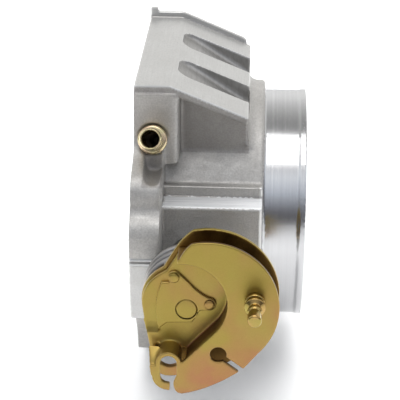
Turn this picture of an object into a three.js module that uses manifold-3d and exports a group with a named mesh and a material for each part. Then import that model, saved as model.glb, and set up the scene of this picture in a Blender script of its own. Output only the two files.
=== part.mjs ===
// Cable-driven throttle body with an 80 mm bore.
// Millimetres. The bore lies along X and its manifold mounting face is the plane X = 0, with the air
// inlet collar towards +X. Z is up. The throttle shaft lies along Y, with the cable lever towards -Y.

import * as THREE from 'three';
import { mergeVertices } from 'three/addons/utils/BufferGeometryUtils.js';
import Module from 'manifold-3d';

const wasm = await Module();
wasm.setup();

// ---------------------------------------------------------------- driving dimensions
const gap = 0.3;                    // running or seating clearance between separate pieces

const bore = { radius: 40, mouthChamfer: 1.4 };
const collar = { radius: 47.5, lipRadius: 47.9, lipLength: 2, end: 67.9 };
const barrel = { radius: 51.2, end: 50.8, edge: 0.8 };
const flange = { thickness: 11.7, bottom: -55, boltRadius: 3.4 };
const flangeBolts = [[-61, 27], [61, 27], [0, -58.6]];        // [y, z]

const block = {
  top: 66.4, halfWidth: 46.9, flatEnd: 14.1, end: 44.2, endTop: 54.1,
  plate: 3.2, edge: 0.6, coreHalfWidth: 36, coreBottom: 20,
};
const pillar = { length: 17.5, face: 48, bottom: 34.5, round: 3 };
const rail = { inner: 45.4, outer: 47.9, rise: 2.5, end: 42.4, tabLength: 3.4, tabRise: 4.3 };
const pocket = { width: 19.5, start: 15, depth: 6, centres: [-18.8, 18.3], round: 6 };
const pad = {
  start: 11.3, end: 50.4, halfHeight: 21.2, face: 58.7, edge: 1.1, step: 48, stepTop: 25.6,
};

const shaft = { x: 23.5, radius: 4.75, spigot: 4, shoulder: -97.2, tip: -102.7, tang: 2.4, farEnd: 66 };
const seat = { radius: 8.8, depth: 42.2 };
const bearing = {
  outer: 8.5, outerWall: 0.9, innerWall: 0.9, width: 7, balls: 9, ball: 0.55, pitch: 6.78,
  cageHalfWidth: 1.3, cageHalfWall: 0.3,
};
const bearingStart = 48;
const circlip = { start: 55.6, thickness: 1, sink: 0.4, width: 2.1, mouthHalf: 2 };
const plate = { halfWidth: 39.55, halfHeight: 39.8, thickness: 2.4, tiltDegrees: 6, screwOffset: 15 };

const springSpan = { start: -79.6, end: -95 };
const outerSpring = { radius: 15.6, wire: 1.4, turns: 3.6, startDegrees: 250, leg: 6 };
const innerSpring = { radius: 10.6, wire: 1.1, turns: 4.4, startDegrees: 200, leg: 2 };
const spool = { core: 8.4, rim: 13, rimLength: 1.5, start: -76.5 };

const lever = {
  rearBack: -97.5, rearFront: -99.5,
  floorBack: -99.8, floorFront: -101.5,
  faceBack: -109.2, faceFront: -111,
  driveBack: -101.8, driveFront: -102.7,
  rim: { x: 31.5, z: 5, radius: 25.7, from: 103, to: -44, corner: [44.7, -19.5] },
  wall: { x: 22.5, z: 6, radius: 16, from: 97, to: -43, run: 15.6, thickness: 1.8 },
  hook: { x: 17.4, top: -18.1, bottom: -23.2, inner: 3, outer: 6, archOuter: 4.6 },
  eye: { x: 17.2, z: -22.8, radius: 7.2, holeZ: -21.2, hole: 4.4 },
  keyhole: { x: 35.5, z: -13.85, radius: 3, slot: 1, slotToX: 43.9, slotToZ: -20.1 },
};
// Cuts through the lever start in front of it and end behind its face, its floor or its rear plate.
const leverCut = { front: -120, behindFace: -105, behindFloor: -95, behindAll: -90 };
const rivet = { centres: [[31.9, 2.2], [19, 12.8]], shank: 1.2, head: 1.9 };
const stud = { x: 48.3, z: 8.4, length: 15.7, shank: 2.5 };
const nipple = { x: 7.5, y: -48, z: 44.8, tiltDegrees: 22, length: 15, bore: 3.2 };
const lug = { x0: 39, x1: 50, z0: -17, z1: -8, end: -92 };
const stop = { x: 45.5, y: -86, radius: 2.4, bottom: -19.5, tabBottom: 0 };
const anchor = { x: 13.6, z: -16.6, radius: 1.5, root: -50, end: -81.6 };

// ---------------------------------------------------------------- colours
const finish = {
  cast: { color: 0xa39d96, roughness: 0.6, metalness: 0.9 },
  steel: { color: 0xb4b4b6, roughness: 0.3, metalness: 1 },
  spring: { color: 0x6d6a68, roughness: 0.4, metalness: 1 },
  zinc: { color: 0xa08c4b, roughness: 0.35, metalness: 0.9 },
  brass: { color: 0xb08d4f, roughness: 0.35, metalness: 1 },
  rubber: { color: 0x1c1c1c, roughness: 0.8, metalness: 0 },
  nylon: { color: 0x24231f, roughness: 0.6, metalness: 0 },
};

// ---------------------------------------------------------------- solids from three.js geometry
const radians = (degrees) => degrees * Math.PI / 180;

function solidOf(geometry) {
  geometry.deleteAttribute('normal');
  geometry.deleteAttribute('uv');
  const merged = mergeVertices(geometry, 1e-4);
  const vertProperties = new Float32Array(merged.attributes.position.array);
  const triVerts = new Uint32Array(merged.index.array);
  return new wasm.Manifold(new wasm.Mesh({ numProp: 3, vertProperties, triVerts }));
}

function geometryOf(solid) {
  const mesh = solid.getMesh();
  const geometry = new THREE.BufferGeometry();
  geometry.setAttribute('position', new THREE.BufferAttribute(new Float32Array(mesh.vertProperties), 3));
  geometry.setIndex(new THREE.BufferAttribute(new Uint32Array(mesh.triVerts), 1));
  return geometry;
}

const join = (...solids) => solids.reduce((whole, piece) => whole.add(piece));
const cut = (solid, ...tools) => tools.reduce((whole, tool) => whole.subtract(tool), solid);

// A prism is an outline swept along one axis. The outline is drawn in the other two axes:
// (y, z) for a sweep along X, (x, z) along Y and (x, y) along Z.
const sweepBasis = {
  x: [[0, 1, 0], [0, 0, 1], [1, 0, 0]],
  y: [[1, 0, 0], [0, 0, 1], [0, -1, 0]],
  z: [[1, 0, 0], [0, 1, 0], [0, 0, 1]],
};

function prism(axis, outline, from, to, options = {}) {
  const shape = outline instanceof THREE.Shape ? outline : polygon(outline);
  const edge = options.edge ?? 0;
  const loop = distinct(shape.getPoints(options.segments ?? 8));
  const geometry = new THREE.ExtrudeGeometry(new THREE.Shape(loop), {
    depth: to - from - 2 * edge,
    bevelEnabled: edge > 0,
    bevelThickness: edge,
    bevelSize: edge,
    bevelOffset: -edge,
    bevelSegments: 1,
  });
  geometry.translate(0, 0, edge);
  const [u, v, w] = sweepBasis[axis].map((direction) => new THREE.Vector3(...direction));
  const start = w.clone().multiplyScalar(axis === 'y' ? -to : from);
  geometry.applyMatrix4(new THREE.Matrix4().makeBasis(u, v, w).setPosition(start));
  return solidOf(geometry);
}

// Drops points that repeat their neighbour, as where a line meets the arc that it leads into.
function distinct(points) {
  const closest = 0.002;
  return points.filter((point, i) => {
    const previous = points[(i + points.length - 1) % points.length];
    return point.distanceTo(previous) > closest;
  });
}

function polygon(points) {
  return new THREE.Shape(points.map(([a, b]) => new THREE.Vector2(a, b)));
}

function box(x0, x1, y0, y1, z0, z1) {
  const geometry = new THREE.BoxGeometry(x1 - x0, y1 - y0, z1 - z0);
  geometry.translate((x0 + x1) / 2, (y0 + y1) / 2, (z0 + z1) / 2);
  return solidOf(geometry);
}

// A turned solid: the profile is a closed list of [distance along the axis, radius].
function turned(axis, profile, segments, centre = [0, 0, 0]) {
  const closed = [...profile, profile[0]];
  const points = closed.map(([along, radius]) => new THREE.Vector2(radius, along));
  const geometry = new THREE.LatheGeometry(points, segments);
  if (axis === 'x') geometry.rotateZ(-Math.PI / 2);
  if (axis === 'z') geometry.rotateX(Math.PI / 2);
  geometry.translate(...centre);
  return outward(geometry);
}

// Turned profiles may be listed either way round, so the faces are flipped when they point inward.
function outward(geometry) {
  const position = geometry.attributes.position;
  const index = geometry.index.array;
  const corner = [new THREE.Vector3(), new THREE.Vector3(), new THREE.Vector3()];
  let volume = 0;
  for (let i = 0; i < index.length; i += 3) {
    corner.forEach((point, k) => point.fromBufferAttribute(position, index[i + k]));
    volume += corner[0].dot(corner[1].clone().cross(corner[2]));
  }
  if (volume < 0) index.reverse();
  return solidOf(geometry);
}

function rod(axis, from, to, radius, centre, segments = 24) {
  return turned(axis, [[from, 0], [from, radius], [to, radius], [to, 0]], segments, centre);
}

function ring(axis, from, to, inner, outer, centre, segments = 24) {
  return turned(axis, [[from, inner], [from, outer], [to, outer], [to, inner]], segments, centre);
}

function hexagon(axis, from, to, radius, centre) {
  return rod(axis, from, to, radius, centre, 6);
}

const onShaft = [shaft.x, 0, 0];

// The range from..to on the far side of the bore (side 1), or its mirror on the lever side (side -1).
const spanOn = (side, from, to) => (side < 0 ? [-to, -from] : [from, to]);

// ---------------------------------------------------------------- body casting
// Half of the manifold flange outline, drawn as [y, z] down the lever side and mirrored for the other.
function flangeOutline() {
  const shape = new THREE.Shape();
  const bottomEar = { halfWidth: 13, radius: 8.8 };
  const [, earY] = flangeBolts[2];
  shape.moveTo(-block.halfWidth, block.top - 2);
  shape.lineTo(-pillar.face, 46);
  shape.quadraticCurveTo(-48.6, 40.3, -56, 38.3);
  shape.lineTo(-63, 36);
  shape.quadraticCurveTo(-68.2, 34, -68.8, 28.5);
  shape.quadraticCurveTo(-69.6, 24.5, -73, 21);
  shape.quadraticCurveTo(-76.6, 17, -75.6, 10);
  shape.lineTo(-74.3, 1.4);
  shape.lineTo(-73.8, -5.3);
  shape.lineTo(-70.1, -21.5);
  shape.lineTo(-56, -24);
  shape.quadraticCurveTo(-48, -32, -39, -43);
  shape.lineTo(-34, flange.bottom);
  shape.lineTo(-bottomEar.halfWidth, flange.bottom);
  shape.quadraticCurveTo(-9.5, earY - bottomEar.radius, 0, earY - bottomEar.radius);
  const half = shape.getPoints(4);
  const mirrored = half.slice(0, -1).reverse().map((point) => new THREE.Vector2(-point.x, point.y));
  return new THREE.Shape([...half, ...mirrored]);
}

function barrelSolid() {
  return turned('x', [
    [0, 0],
    [0, barrel.radius],
    [barrel.end - barrel.edge, barrel.radius],
    [barrel.end, barrel.radius - barrel.edge],
    [barrel.end, collar.radius],
    [collar.end - collar.lipLength, collar.radius],
    [collar.end - collar.lipLength, collar.lipRadius],
    [collar.end, collar.lipRadius],
    [collar.end, 0],
  ], 64);
}

// The top block is a sloping plate that overhangs a narrower core on both sides.
function topBlock() {
  const plateOutline = [
    [0, block.top], [0, block.top - block.plate], [block.flatEnd - 0.7, block.top - block.plate],
    [block.end, block.endTop - block.plate], [block.end, block.endTop], [block.flatEnd, block.top],
  ];
  const coreOutline = [
    [0, block.coreBottom], [block.end, block.coreBottom], [block.end, block.endTop - 1],
    [block.flatEnd, block.top - 1], [0, block.top - 1],
  ];
  const foot = turned('x', [
    [block.end - 1, barrel.radius - 2], [block.end + 3.2, barrel.radius - 2],
    [block.end + 3.2, barrel.radius - 0.2], [block.end + 1, barrel.radius + 0.6],
    [block.end, barrel.radius + 2.4], [block.end - 1, barrel.radius + 2.4],
  ], 64).intersect(box(0, 60, -block.coreHalfWidth, block.coreHalfWidth, 0, block.endTop));
  return join(
    prism('y', plateOutline, -block.halfWidth, block.halfWidth, { edge: block.edge }),
    prism('y', coreOutline, -block.coreHalfWidth, block.coreHalfWidth),
    prism('y', railOutline(), rail.inner, rail.outer),
    foot,
  );
}

// A low rail stands along the far edge of the plate, with a small tab at its manifold end.
function railOutline() {
  const slope = (block.top - block.endTop) / (block.end - block.flatEnd);
  const endHeight = block.top - slope * (rail.end - block.flatEnd);
  return [
    [0, block.top - block.plate], [block.flatEnd, block.top - block.plate],
    [rail.end, endHeight - block.plate], [rail.end, endHeight + rail.rise - 1],
    [rail.end - 1.2, endHeight + rail.rise + 0.3], [block.flatEnd + 0.4, block.top + rail.rise],
    [rail.tabLength, block.top + rail.rise], [rail.tabLength, block.top + rail.tabRise],
    [0, block.top + rail.tabRise],
  ];
}

// A pillar stands under each end of the plate's flat part and carries the vacuum port.
function pillarSolid(side) {
  const shape = new THREE.Shape();
  const inner = block.coreHalfWidth - 2;
  shape.moveTo(0, side * inner);
  shape.lineTo(pillar.length, side * inner);
  const face = side * pillar.face;
  shape.lineTo(pillar.length, side * (pillar.face - pillar.round));
  shape.quadraticCurveTo(pillar.length, face, pillar.length - pillar.round, face);
  shape.lineTo(0, face);
  return prism('z', shape, pillar.bottom, block.top - block.plate);
}

function sidePad(side) {
  const outline = [
    [pad.start, -pad.halfHeight], [pad.end, -pad.halfHeight],
    [pad.end, pad.halfHeight], [pad.start, pad.halfHeight],
  ];
  const stepOutline = [
    [pad.start, -pad.stepTop], [pad.end, -pad.stepTop], [pad.end, pad.stepTop], [pad.start, pad.stepTop],
  ];
  return join(
    prism('y', outline, ...spanOn(side, 30, pad.face), { edge: pad.edge }),
    prism('y', stepOutline, ...spanOn(side, 30, pad.step)),
  );
}

// Two milled pockets deepen down the slope and end at the block's lower end face.
function pocketTool(centre) {
  const slope = Math.atan2(block.top - block.endTop, block.end - block.flatEnd);
  const reach = 40;
  const floorAngle = slope + Math.asin(pocket.depth / (block.end - pocket.start));
  const half = pocket.width / 2;
  const plan = new THREE.Shape();
  plan.moveTo(reach, centre - half);
  plan.lineTo(reach, centre + half);
  plan.lineTo(pocket.round, centre + half);
  plan.quadraticCurveTo(0, centre + half, 0, centre + half - pocket.round);
  plan.lineTo(0, centre - half + pocket.round);
  plan.quadraticCurveTo(0, centre - half, pocket.round, centre - half);
  const geometry = new THREE.ExtrudeGeometry(plan, { depth: 20, bevelEnabled: false, curveSegments: 6 });
  geometry.rotateY(floorAngle);
  const startHeight = block.top - Math.tan(slope) * (pocket.start - block.flatEnd);
  geometry.translate(pocket.start, 0, startHeight - 0.6);
  const blockSpace = box(0, block.end, -block.halfWidth, block.halfWidth, block.coreBottom, 90);
  return solidOf(geometry).intersect(blockSpace);
}

function nippleAxis(geometry) {
  geometry.rotateX(radians(nipple.tiltDegrees));
  geometry.rotateZ(Math.PI);
  geometry.translate(nipple.x, nipple.y, nipple.z);
  return geometry;
}

function nippleTurned(profile, segments) {
  const points = [...profile, profile[0]].map(([along, radius]) => new THREE.Vector2(radius, along));
  const geometry = new THREE.LatheGeometry(points, segments);
  return outward(nippleAxis(geometry));
}

function bodyCasting() {
  const solid = join(
    prism('x', flangeOutline(), 0, flange.thickness),
    barrelSolid(),
    topBlock(),
    pillarSolid(-1),
    pillarSolid(1),
    sidePad(-1),
    sidePad(1),
    box(lug.x0, lug.x1, lug.end, -pad.face + 2, lug.z0, lug.z1),
  );
  const mouth = turned('x', [
    [collar.end + 1, 0],
    [collar.end + 1, bore.radius + bore.mouthChamfer + 1],
    [collar.end - bore.mouthChamfer, bore.radius],
    [collar.end - bore.mouthChamfer, 0],
  ], 64);
  const tools = [
    rod('x', -5, collar.end + 5, bore.radius, [0, 0, 0], 64),
    mouth,
    rod('y', -80, 80, shaft.radius + gap, onShaft, 32),
    ...[-1, 1].flatMap(bearingSeat),
    ...pocket.centres.map(pocketTool),
    ...flangeBolts.map(([y, z]) => rod('x', -1, flange.thickness + 9, flange.boltRadius, [0, y, z])),
    nippleTurned([[0, 0], [0, 6.2], [9, 6.2], [9, 0]], 28),
    nippleTurned([[-13, 0], [-13, 4], [1, 4], [1, 0]], 24),
    nippleTurned([[-24, 0], [-24, 2], [-12, 2], [-12, 0]], 12),
    rod('z', lug.z0 - 1, lug.z1 + 1, stop.radius + gap, [stop.x, stop.y, 0]),
    rod('y', -pad.face - 1, anchor.root + gap, anchor.radius + gap, [anchor.x, 0, anchor.z], 16),
    ...sensorHoles(),
    ...idleValvePort(),
    edgeGroove(),
  ];
  return cut(solid, ...tools);
}

// Each side pad is bored for a seal and a bearing, with a groove for the retaining ring.
function bearingSeat(side) {
  const [from, to] = spanOn(side, seat.depth, pad.face + 1);
  const groove = spanOn(side, circlip.start - gap, circlip.start + circlip.thickness + gap);
  return [
    rod('y', from, to, seat.radius, onShaft, 32),
    ring('y', ...groove, seat.radius - 1, seat.radius + circlip.sink + gap, onShaft),
  ];
}

// A vertical channel is cut into the flange's flared edge, below the vacuum port.
function edgeGroove() {
  const groove = { x: 8.4, halfWidth: 3.5, bottom: 36.6, top: 46, back: -51 };
  const outline = new THREE.Shape();
  outline.moveTo(groove.x - groove.halfWidth, groove.top);
  outline.lineTo(groove.x - groove.halfWidth, groove.bottom);
  outline.absarc(groove.x, groove.bottom, groove.halfWidth, Math.PI, 2 * Math.PI, false);
  outline.lineTo(groove.x + groove.halfWidth, groove.top);
  return prism('y', outline, -75, groove.back, { segments: 5 });
}

// Two tapped holes beside the far bearing take the throttle position sensor.
function sensorHoles() {
  const rise = 14.5;
  const lean = 4;
  return [-1, 1].map((side) => (
    rod('y', 48, pad.face + 1, 2.1, [shaft.x + side * lean, 0, side * rise], 16)
  ));
}

// The idle air valve's seat and its drilled passage to the manifold face.
function idleValvePort() {
  const seat = { x: 9, z: 52, radius: 7 };
  return [
    rod('y', 24, pillar.face + 1, seat.radius, [seat.x, 0, seat.z], 24),
    rod('x', -1, seat.x, 3.5, [0, 30, seat.z], 16),
  ];
}

// ---------------------------------------------------------------- fixed fittings
const bearingSpan = (side) => spanOn(side, bearingStart, bearingStart + bearing.width);

function bearingOuter(side) {
  return ring('y', ...bearingSpan(side), bearing.outer - bearing.outerWall, bearing.outer, onShaft);
}

function bearingInner(side) {
  const inner = shaft.radius + gap;
  return ring('y', ...bearingSpan(side), inner, inner + bearing.innerWall, onShaft);
}

// The balls are held in a thin cage, and the two are one solid.
function bearingBallCage(side) {
  const middle = side * (bearingStart + bearing.width / 2);
  const { cageHalfWidth, cageHalfWall, pitch } = bearing;
  const cageSpan = [middle - cageHalfWidth, middle + cageHalfWidth];
  const cage = ring('y', ...cageSpan, pitch - cageHalfWall, pitch + cageHalfWall, onShaft, 18);
  const balls = [cage];
  for (let i = 0; i < bearing.balls; i += 1) {
    const angle = 2 * Math.PI * i / bearing.balls;
    const geometry = new THREE.OctahedronGeometry(bearing.ball, 1);
    const across = shaft.x + bearing.pitch * Math.cos(angle);
    geometry.translate(across, middle, bearing.pitch * Math.sin(angle));
    balls.push(solidOf(geometry));
  }
  return join(...balls);
}

function shaftSeal(side) {
  const [from, to] = spanOn(side, seat.depth + gap, bearingStart - gap);
  const lip = shaft.radius + gap;
  const lipHalfWidth = 0.6;
  const relieved = lip + 1.2;
  const middle = (from + to) / 2;
  return turned('y', [
    [from, relieved], [from, bearing.outer], [to, bearing.outer], [to, relieved],
    [middle + lipHalfWidth, lip], [middle - lipHalfWidth, lip],
  ], 32, onShaft);
}

function retainingRing(side) {
  const [from, to] = spanOn(side, circlip.start, circlip.start + circlip.thickness);
  const outer = seat.radius + circlip.sink;
  const whole = ring('y', from, to, outer - circlip.width, outer, onShaft);
  const { mouthHalf } = circlip;
  return cut(whole, box(shaft.x - mouthHalf, shaft.x + mouthHalf, from - 1, to + 1, -12, -5));
}

function vacuumNipple() {
  const { length, bore: hole } = nipple;
  return nippleTurned([
    [-8, hole], [-8, 3.7], [gap, 3.7], [gap, 5.75], [2.6, 5.75], [3.4, 5], [3.4, 3.8],
    [length - 4.5, 3.6], [length - 3.5, 4.3], [length - 1, 4.3], [length, 3.8], [length, 3.5],
    [length - 0.6, hole],
  ], 20);
}

function stopScrew() {
  const tip = stop.tabBottom - gap;
  const solid = turned('z', [
    [stop.bottom, 0], [stop.bottom, stop.radius], [tip - 1, stop.radius],
    [tip, stop.radius - 0.9], [tip, 0],
  ], 20, [stop.x, stop.y, 0]);
  return cut(solid, hexagon('z', stop.bottom - 1, stop.bottom + 2.5, 1.3, [stop.x, stop.y, 0]));
}

function stopLocknut() {
  const centre = [stop.x, stop.y, 0];
  const blank = hexagon('z', lug.z1 + gap, lug.z1 + 3.8, 4.3, centre);
  return cut(blank, rod('z', lug.z1 - 1, lug.z1 + 6, stop.radius + gap, centre, 20));
}

function anchorPin() {
  return turned('y', [
    [anchor.root, 0], [anchor.root, anchor.radius], [anchor.end + 0.5, anchor.radius],
    [anchor.end, anchor.radius - 0.5], [anchor.end, 0],
  ], 16, [anchor.x, 0, anchor.z]);
}

// ---------------------------------------------------------------- shaft and plate
// Cuts made in the closed plate's tilted frame are built at no tilt and turned about the shaft.
function tilted(solid) {
  return solid.translate(-shaft.x, 0, 0).rotate(0, -plate.tiltDegrees, 0).translate(shaft.x, 0, 0);
}

function throttleShaft() {
  const solid = turned('y', [
    [shaft.tip, 0], [shaft.tip, shaft.spigot], [shaft.shoulder, shaft.spigot],
    [shaft.shoulder, shaft.radius], [shaft.farEnd, shaft.radius], [shaft.farEnd, 0],
  ], 32, onShaft);
  const slotHalf = plate.thickness / 2 + gap;
  const slotReach = plate.halfWidth + gap;
  const slot = box(shaft.x - slotHalf, shaft.x + slotHalf, -slotReach, slotReach, -9, 9);
  const screws = [-plate.screwOffset, plate.screwOffset].flatMap((y) => [
    rod('x', shaft.x - 8, shaft.x + 8, 2.3, [0, y, 0], 16),
    rod('x', shaft.x + 3.3, shaft.x + 8, 3.9, [0, y, 0], 20),
  ]);
  const tangCut = [-1, 1].map((side) => {
    const [near, far] = side < 0 ? [-9, -shaft.tang] : [shaft.tang, 9];
    return box(shaft.x - 9, shaft.x + 9, 59.5, shaft.farEnd + 1, near, far);
  });
  return cut(solid, tilted(join(slot, ...screws)), ...tangCut);
}

function throttlePlate() {
  const half = plate.thickness / 2;
  const edge = 0.5;
  const faceRadius = 1 - edge / plate.halfHeight;
  const profile = [
    [0, -half], [faceRadius, -half], [1, -half + edge], [1, half - edge], [faceRadius, half], [0, half],
  ];
  const geometry = new THREE.LatheGeometry(profile.map(([r, along]) => new THREE.Vector2(r, along)), 60);
  geometry.rotateZ(-Math.PI / 2);
  geometry.scale(1, plate.halfWidth, plate.halfHeight);
  geometry.translate(shaft.x, 0, 0);
  const holes = [-plate.screwOffset, plate.screwOffset].map((y) => (
    rod('x', shaft.x - 8, shaft.x + 8, 2.3, [0, y, 0], 16)
  ));
  return tilted(cut(outward(geometry), ...holes));
}

function plateScrew(y) {
  const solid = turned('x', [
    [shaft.x - 5.4, 0], [shaft.x - 5.4, 2], [shaft.x + 3.6, 2], [shaft.x + 3.6, 3.5],
    [shaft.x + 5, 3.3], [shaft.x + 5.6, 2.2], [shaft.x + 5.6, 0],
  ], 20, [0, y, 0]);
  return tilted(cut(solid, box(shaft.x + 4.6, shaft.x + 7, y - 3.6, y + 3.6, -0.5, 0.5)));
}

function shaftSpacer() {
  const inner = shaft.radius + gap;
  return ring('y', spool.start + gap, -bearingStart - bearing.width - gap, inner, 6.4, onShaft);
}

function springSpool() {
  const inner = shaft.radius + gap;
  return turned('y', [
    [spool.start, inner], [spool.start, spool.rim], [spool.start - spool.rimLength, spool.rim],
    [spool.start - spool.rimLength - 0.4, spool.core], [shaft.shoulder + gap, spool.core],
    [shaft.shoulder + gap, inner],
  ], 32, onShaft);
}

// A torsion spring is a round wire wound about the shaft, with a short leg leading off at each end.
function torsionSpring({ radius, wire, turns, startDegrees, leg }) {
  const points = [];
  const perTurn = 12;
  const steps = Math.round(turns * perTurn);
  const at = (step, out) => {
    const angle = radians(startDegrees) + 2 * Math.PI * step / perTurn;
    const along = springSpan.start + (springSpan.end - springSpan.start) * step / steps;
    const tangent = new THREE.Vector3(-Math.sin(angle), 0, Math.cos(angle)).multiplyScalar(out);
    const onCoil = new THREE.Vector3(shaft.x + radius * Math.cos(angle), along, radius * Math.sin(angle));
    return onCoil.add(tangent);
  };
  points.push(at(0, -leg));
  for (let step = 0; step <= steps; step += 1) points.push(at(step, 0));
  points.push(at(steps, leg * 0.7));
  const section = new THREE.Shape();
  section.absarc(0, 0, wire, 0, 2 * Math.PI, false);
  return new THREE.ExtrudeGeometry(section, {
    steps: Math.round(points.length * 1.2),
    curveSegments: 3,
    bevelEnabled: false,
    extrudePath: new THREE.CatmullRomCurve3(points),
  });
}

// ---------------------------------------------------------------- lever
const { rim, wall, hook, eye, keyhole } = lever;
const rimPoint = (degrees, radius = rim.radius) => [
  rim.x + radius * Math.cos(radians(degrees)), rim.z + radius * Math.sin(radians(degrees)),
];
const wallPoint = (degrees, radius = wall.radius) => [
  wall.x + radius * Math.cos(radians(degrees)), wall.z + radius * Math.sin(radians(degrees)),
];
const wallEnd = (offset) => {
  const angle = radians(wall.to);
  const [x, z] = wallPoint(wall.to, wall.radius + offset);
  return [x + wall.run * Math.sin(angle), z - wall.run * Math.cos(angle)];
};

// The left-hand edge that the rear plate and the quadrant's floor share, from the top tip down.
function leftEdge(shape) {
  shape.lineTo(14.9, 15.2);
  shape.lineTo(12.2, 13.4);
  shape.quadraticCurveTo(6.4, 8.5, 6.9, 1);
  shape.lineTo(8.6, -10.8);
  shape.lineTo(10.4, -19.5);
}

function rearPlateOutline() {
  const shape = new THREE.Shape();
  shape.moveTo(...rimPoint(rim.from));
  shape.quadraticCurveTo(21.8, 27.4, 18.5, 21.6);
  leftEdge(shape);
  shape.absarc(eye.x, eye.z, eye.radius, radians(170), radians(285), false);
  shape.quadraticCurveTo(34, -28, ...rim.corner);
  shape.lineTo(...rimPoint(rim.to));
  shape.absarc(rim.x, rim.z, rim.radius, radians(rim.to), radians(rim.from), false);
  return shape;
}

function rearPlate() {
  const tabBack = -82;
  const stopTab = box(42.5, 48.5, lever.rearBack - 1, tabBack, stop.tabBottom, stop.tabBottom + 2);
  const openStop = { from: 18.2, to: 21.2, leading: -126.5, thickness: 1.8 };
  const openTab = box(openStop.from, openStop.to, lever.rearBack - 1, tabBack, -openStop.thickness, 0)
    .rotate(0, -openStop.leading, 0)
    .translate(shaft.x, 0, 0);
  const solid = join(
    prism('y', rearPlateOutline(), lever.rearFront, lever.rearBack, { segments: 14 }),
    stopTab,
    openTab,
  );
  return cut(
    solid,
    rod('y', leverCut.front, leverCut.behindAll, shaft.spigot + gap, onShaft),
    rod('y', leverCut.front, leverCut.behindAll, eye.hole, [eye.x, 0, eye.holeZ]),
  );
}

// The front face of the quadrant: everything outside the groove wall, out to the rim.
function faceOutline() {
  const shape = new THREE.Shape();
  shape.moveTo(...rimPoint(rim.from));
  shape.quadraticCurveTo(22.4, 27.6, ...wallPoint(wall.from));
  shape.absarc(wall.x, wall.z, wall.radius, radians(wall.from), radians(wall.to), true);
  shape.lineTo(...wallEnd(0));
  shape.lineTo(22.2, -17.5);
  shape.lineTo(19.6, -19);
  shape.lineTo(19.2, -26);
  shape.quadraticCurveTo(19.4, -31, 23, -30.5);
  shape.quadraticCurveTo(33.6, -28.2, ...rim.corner);
  shape.lineTo(...rimPoint(rim.to));
  shape.absarc(rim.x, rim.z, rim.radius, radians(rim.to), radians(rim.from), false);
  return shape;
}

function wallOutline() {
  const shape = new THREE.Shape();
  shape.moveTo(...wallPoint(wall.from));
  shape.absarc(wall.x, wall.z, wall.radius, radians(wall.from), radians(wall.to), true);
  shape.lineTo(...wallEnd(0));
  shape.lineTo(...wallEnd(wall.thickness));
  shape.lineTo(...wallPoint(wall.to, wall.radius + wall.thickness));
  shape.absarc(wall.x, wall.z, wall.radius + wall.thickness, radians(wall.to), radians(wall.from), false);
  return shape;
}

function floorOutline() {
  const shape = new THREE.Shape();
  shape.moveTo(20, 22.6);
  leftEdge(shape);
  shape.lineTo(12.4, -19.5);
  shape.lineTo(12.4, -15);
  shape.lineTo(...wallEnd(0.5));
  shape.lineTo(...wallPoint(wall.to, wall.radius + 0.5));
  shape.absarc(wall.x, wall.z, wall.radius + 0.5, radians(wall.to), radians(wall.from - 3), false);
  return shape;
}

// The cable end's seat: an arch that stands up from the floor to the face, open below.
function hookSolid() {
  const { archOuter } = hook;
  const arch = new THREE.Shape();
  arch.moveTo(hook.x - archOuter, hook.top - 2.4);
  arch.lineTo(hook.x + archOuter, hook.top - 2.4);
  arch.lineTo(hook.x + archOuter, hook.top);
  arch.absarc(hook.x, hook.top, archOuter, 0, Math.PI, false);
  const hookPlate = new THREE.Shape();
  hookPlate.moveTo(10.4, hook.top - 1);
  hookPlate.lineTo(hook.x - hook.outer, hook.bottom);
  hookPlate.absarc(hook.x, hook.bottom, hook.outer, Math.PI, radians(275), false);
  hookPlate.lineTo(hook.x + 0.6, hook.bottom);
  hookPlate.lineTo(hook.x + 0.6, hook.top - 1);
  const ramp = [
    [lever.floorBack, -6], [lever.floorFront, -4.5], [lever.faceFront, -19],
    [lever.faceFront, hook.top - 3.9], [lever.faceBack, hook.top - 3.9], [lever.faceBack, -20],
  ];
  const rampLimit = new THREE.Shape();
  rampLimit.moveTo(12.4, -3);
  rampLimit.lineTo(7.4, -3);
  rampLimit.lineTo(8.6, -10.8);
  rampLimit.lineTo(10.4, hook.top - 1);
  rampLimit.lineTo(10.9, hook.top - 4.5);
  rampLimit.lineTo(12.4, hook.top - 4.5);
  const rampSolid = prism('x', ramp, 6, 12.4).intersect(prism('y', rampLimit, -115, -95));
  return join(
    prism('y', arch, lever.faceFront, lever.floorBack, { segments: 6 }),
    prism('y', hookPlate, lever.faceFront, lever.faceBack, { segments: 6 }),
    rampSolid,
  );
}

function hookOpening() {
  const shape = new THREE.Shape();
  shape.moveTo(hook.x - hook.inner, hook.top);
  shape.lineTo(hook.x - hook.inner, hook.bottom);
  shape.absarc(hook.x, hook.bottom, hook.inner, Math.PI, radians(285), false);
  shape.lineTo(18.2, -31);
  shape.lineTo(19.2, -31);
  shape.lineTo(19.2, -26);
  shape.lineTo(hook.x + hook.inner, hook.bottom);
  shape.lineTo(hook.x + hook.inner, hook.top);
  shape.absarc(hook.x, hook.top, hook.inner, 0, Math.PI, false);
  return prism('y', shape, -115, -95, { segments: 6 });
}

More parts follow.
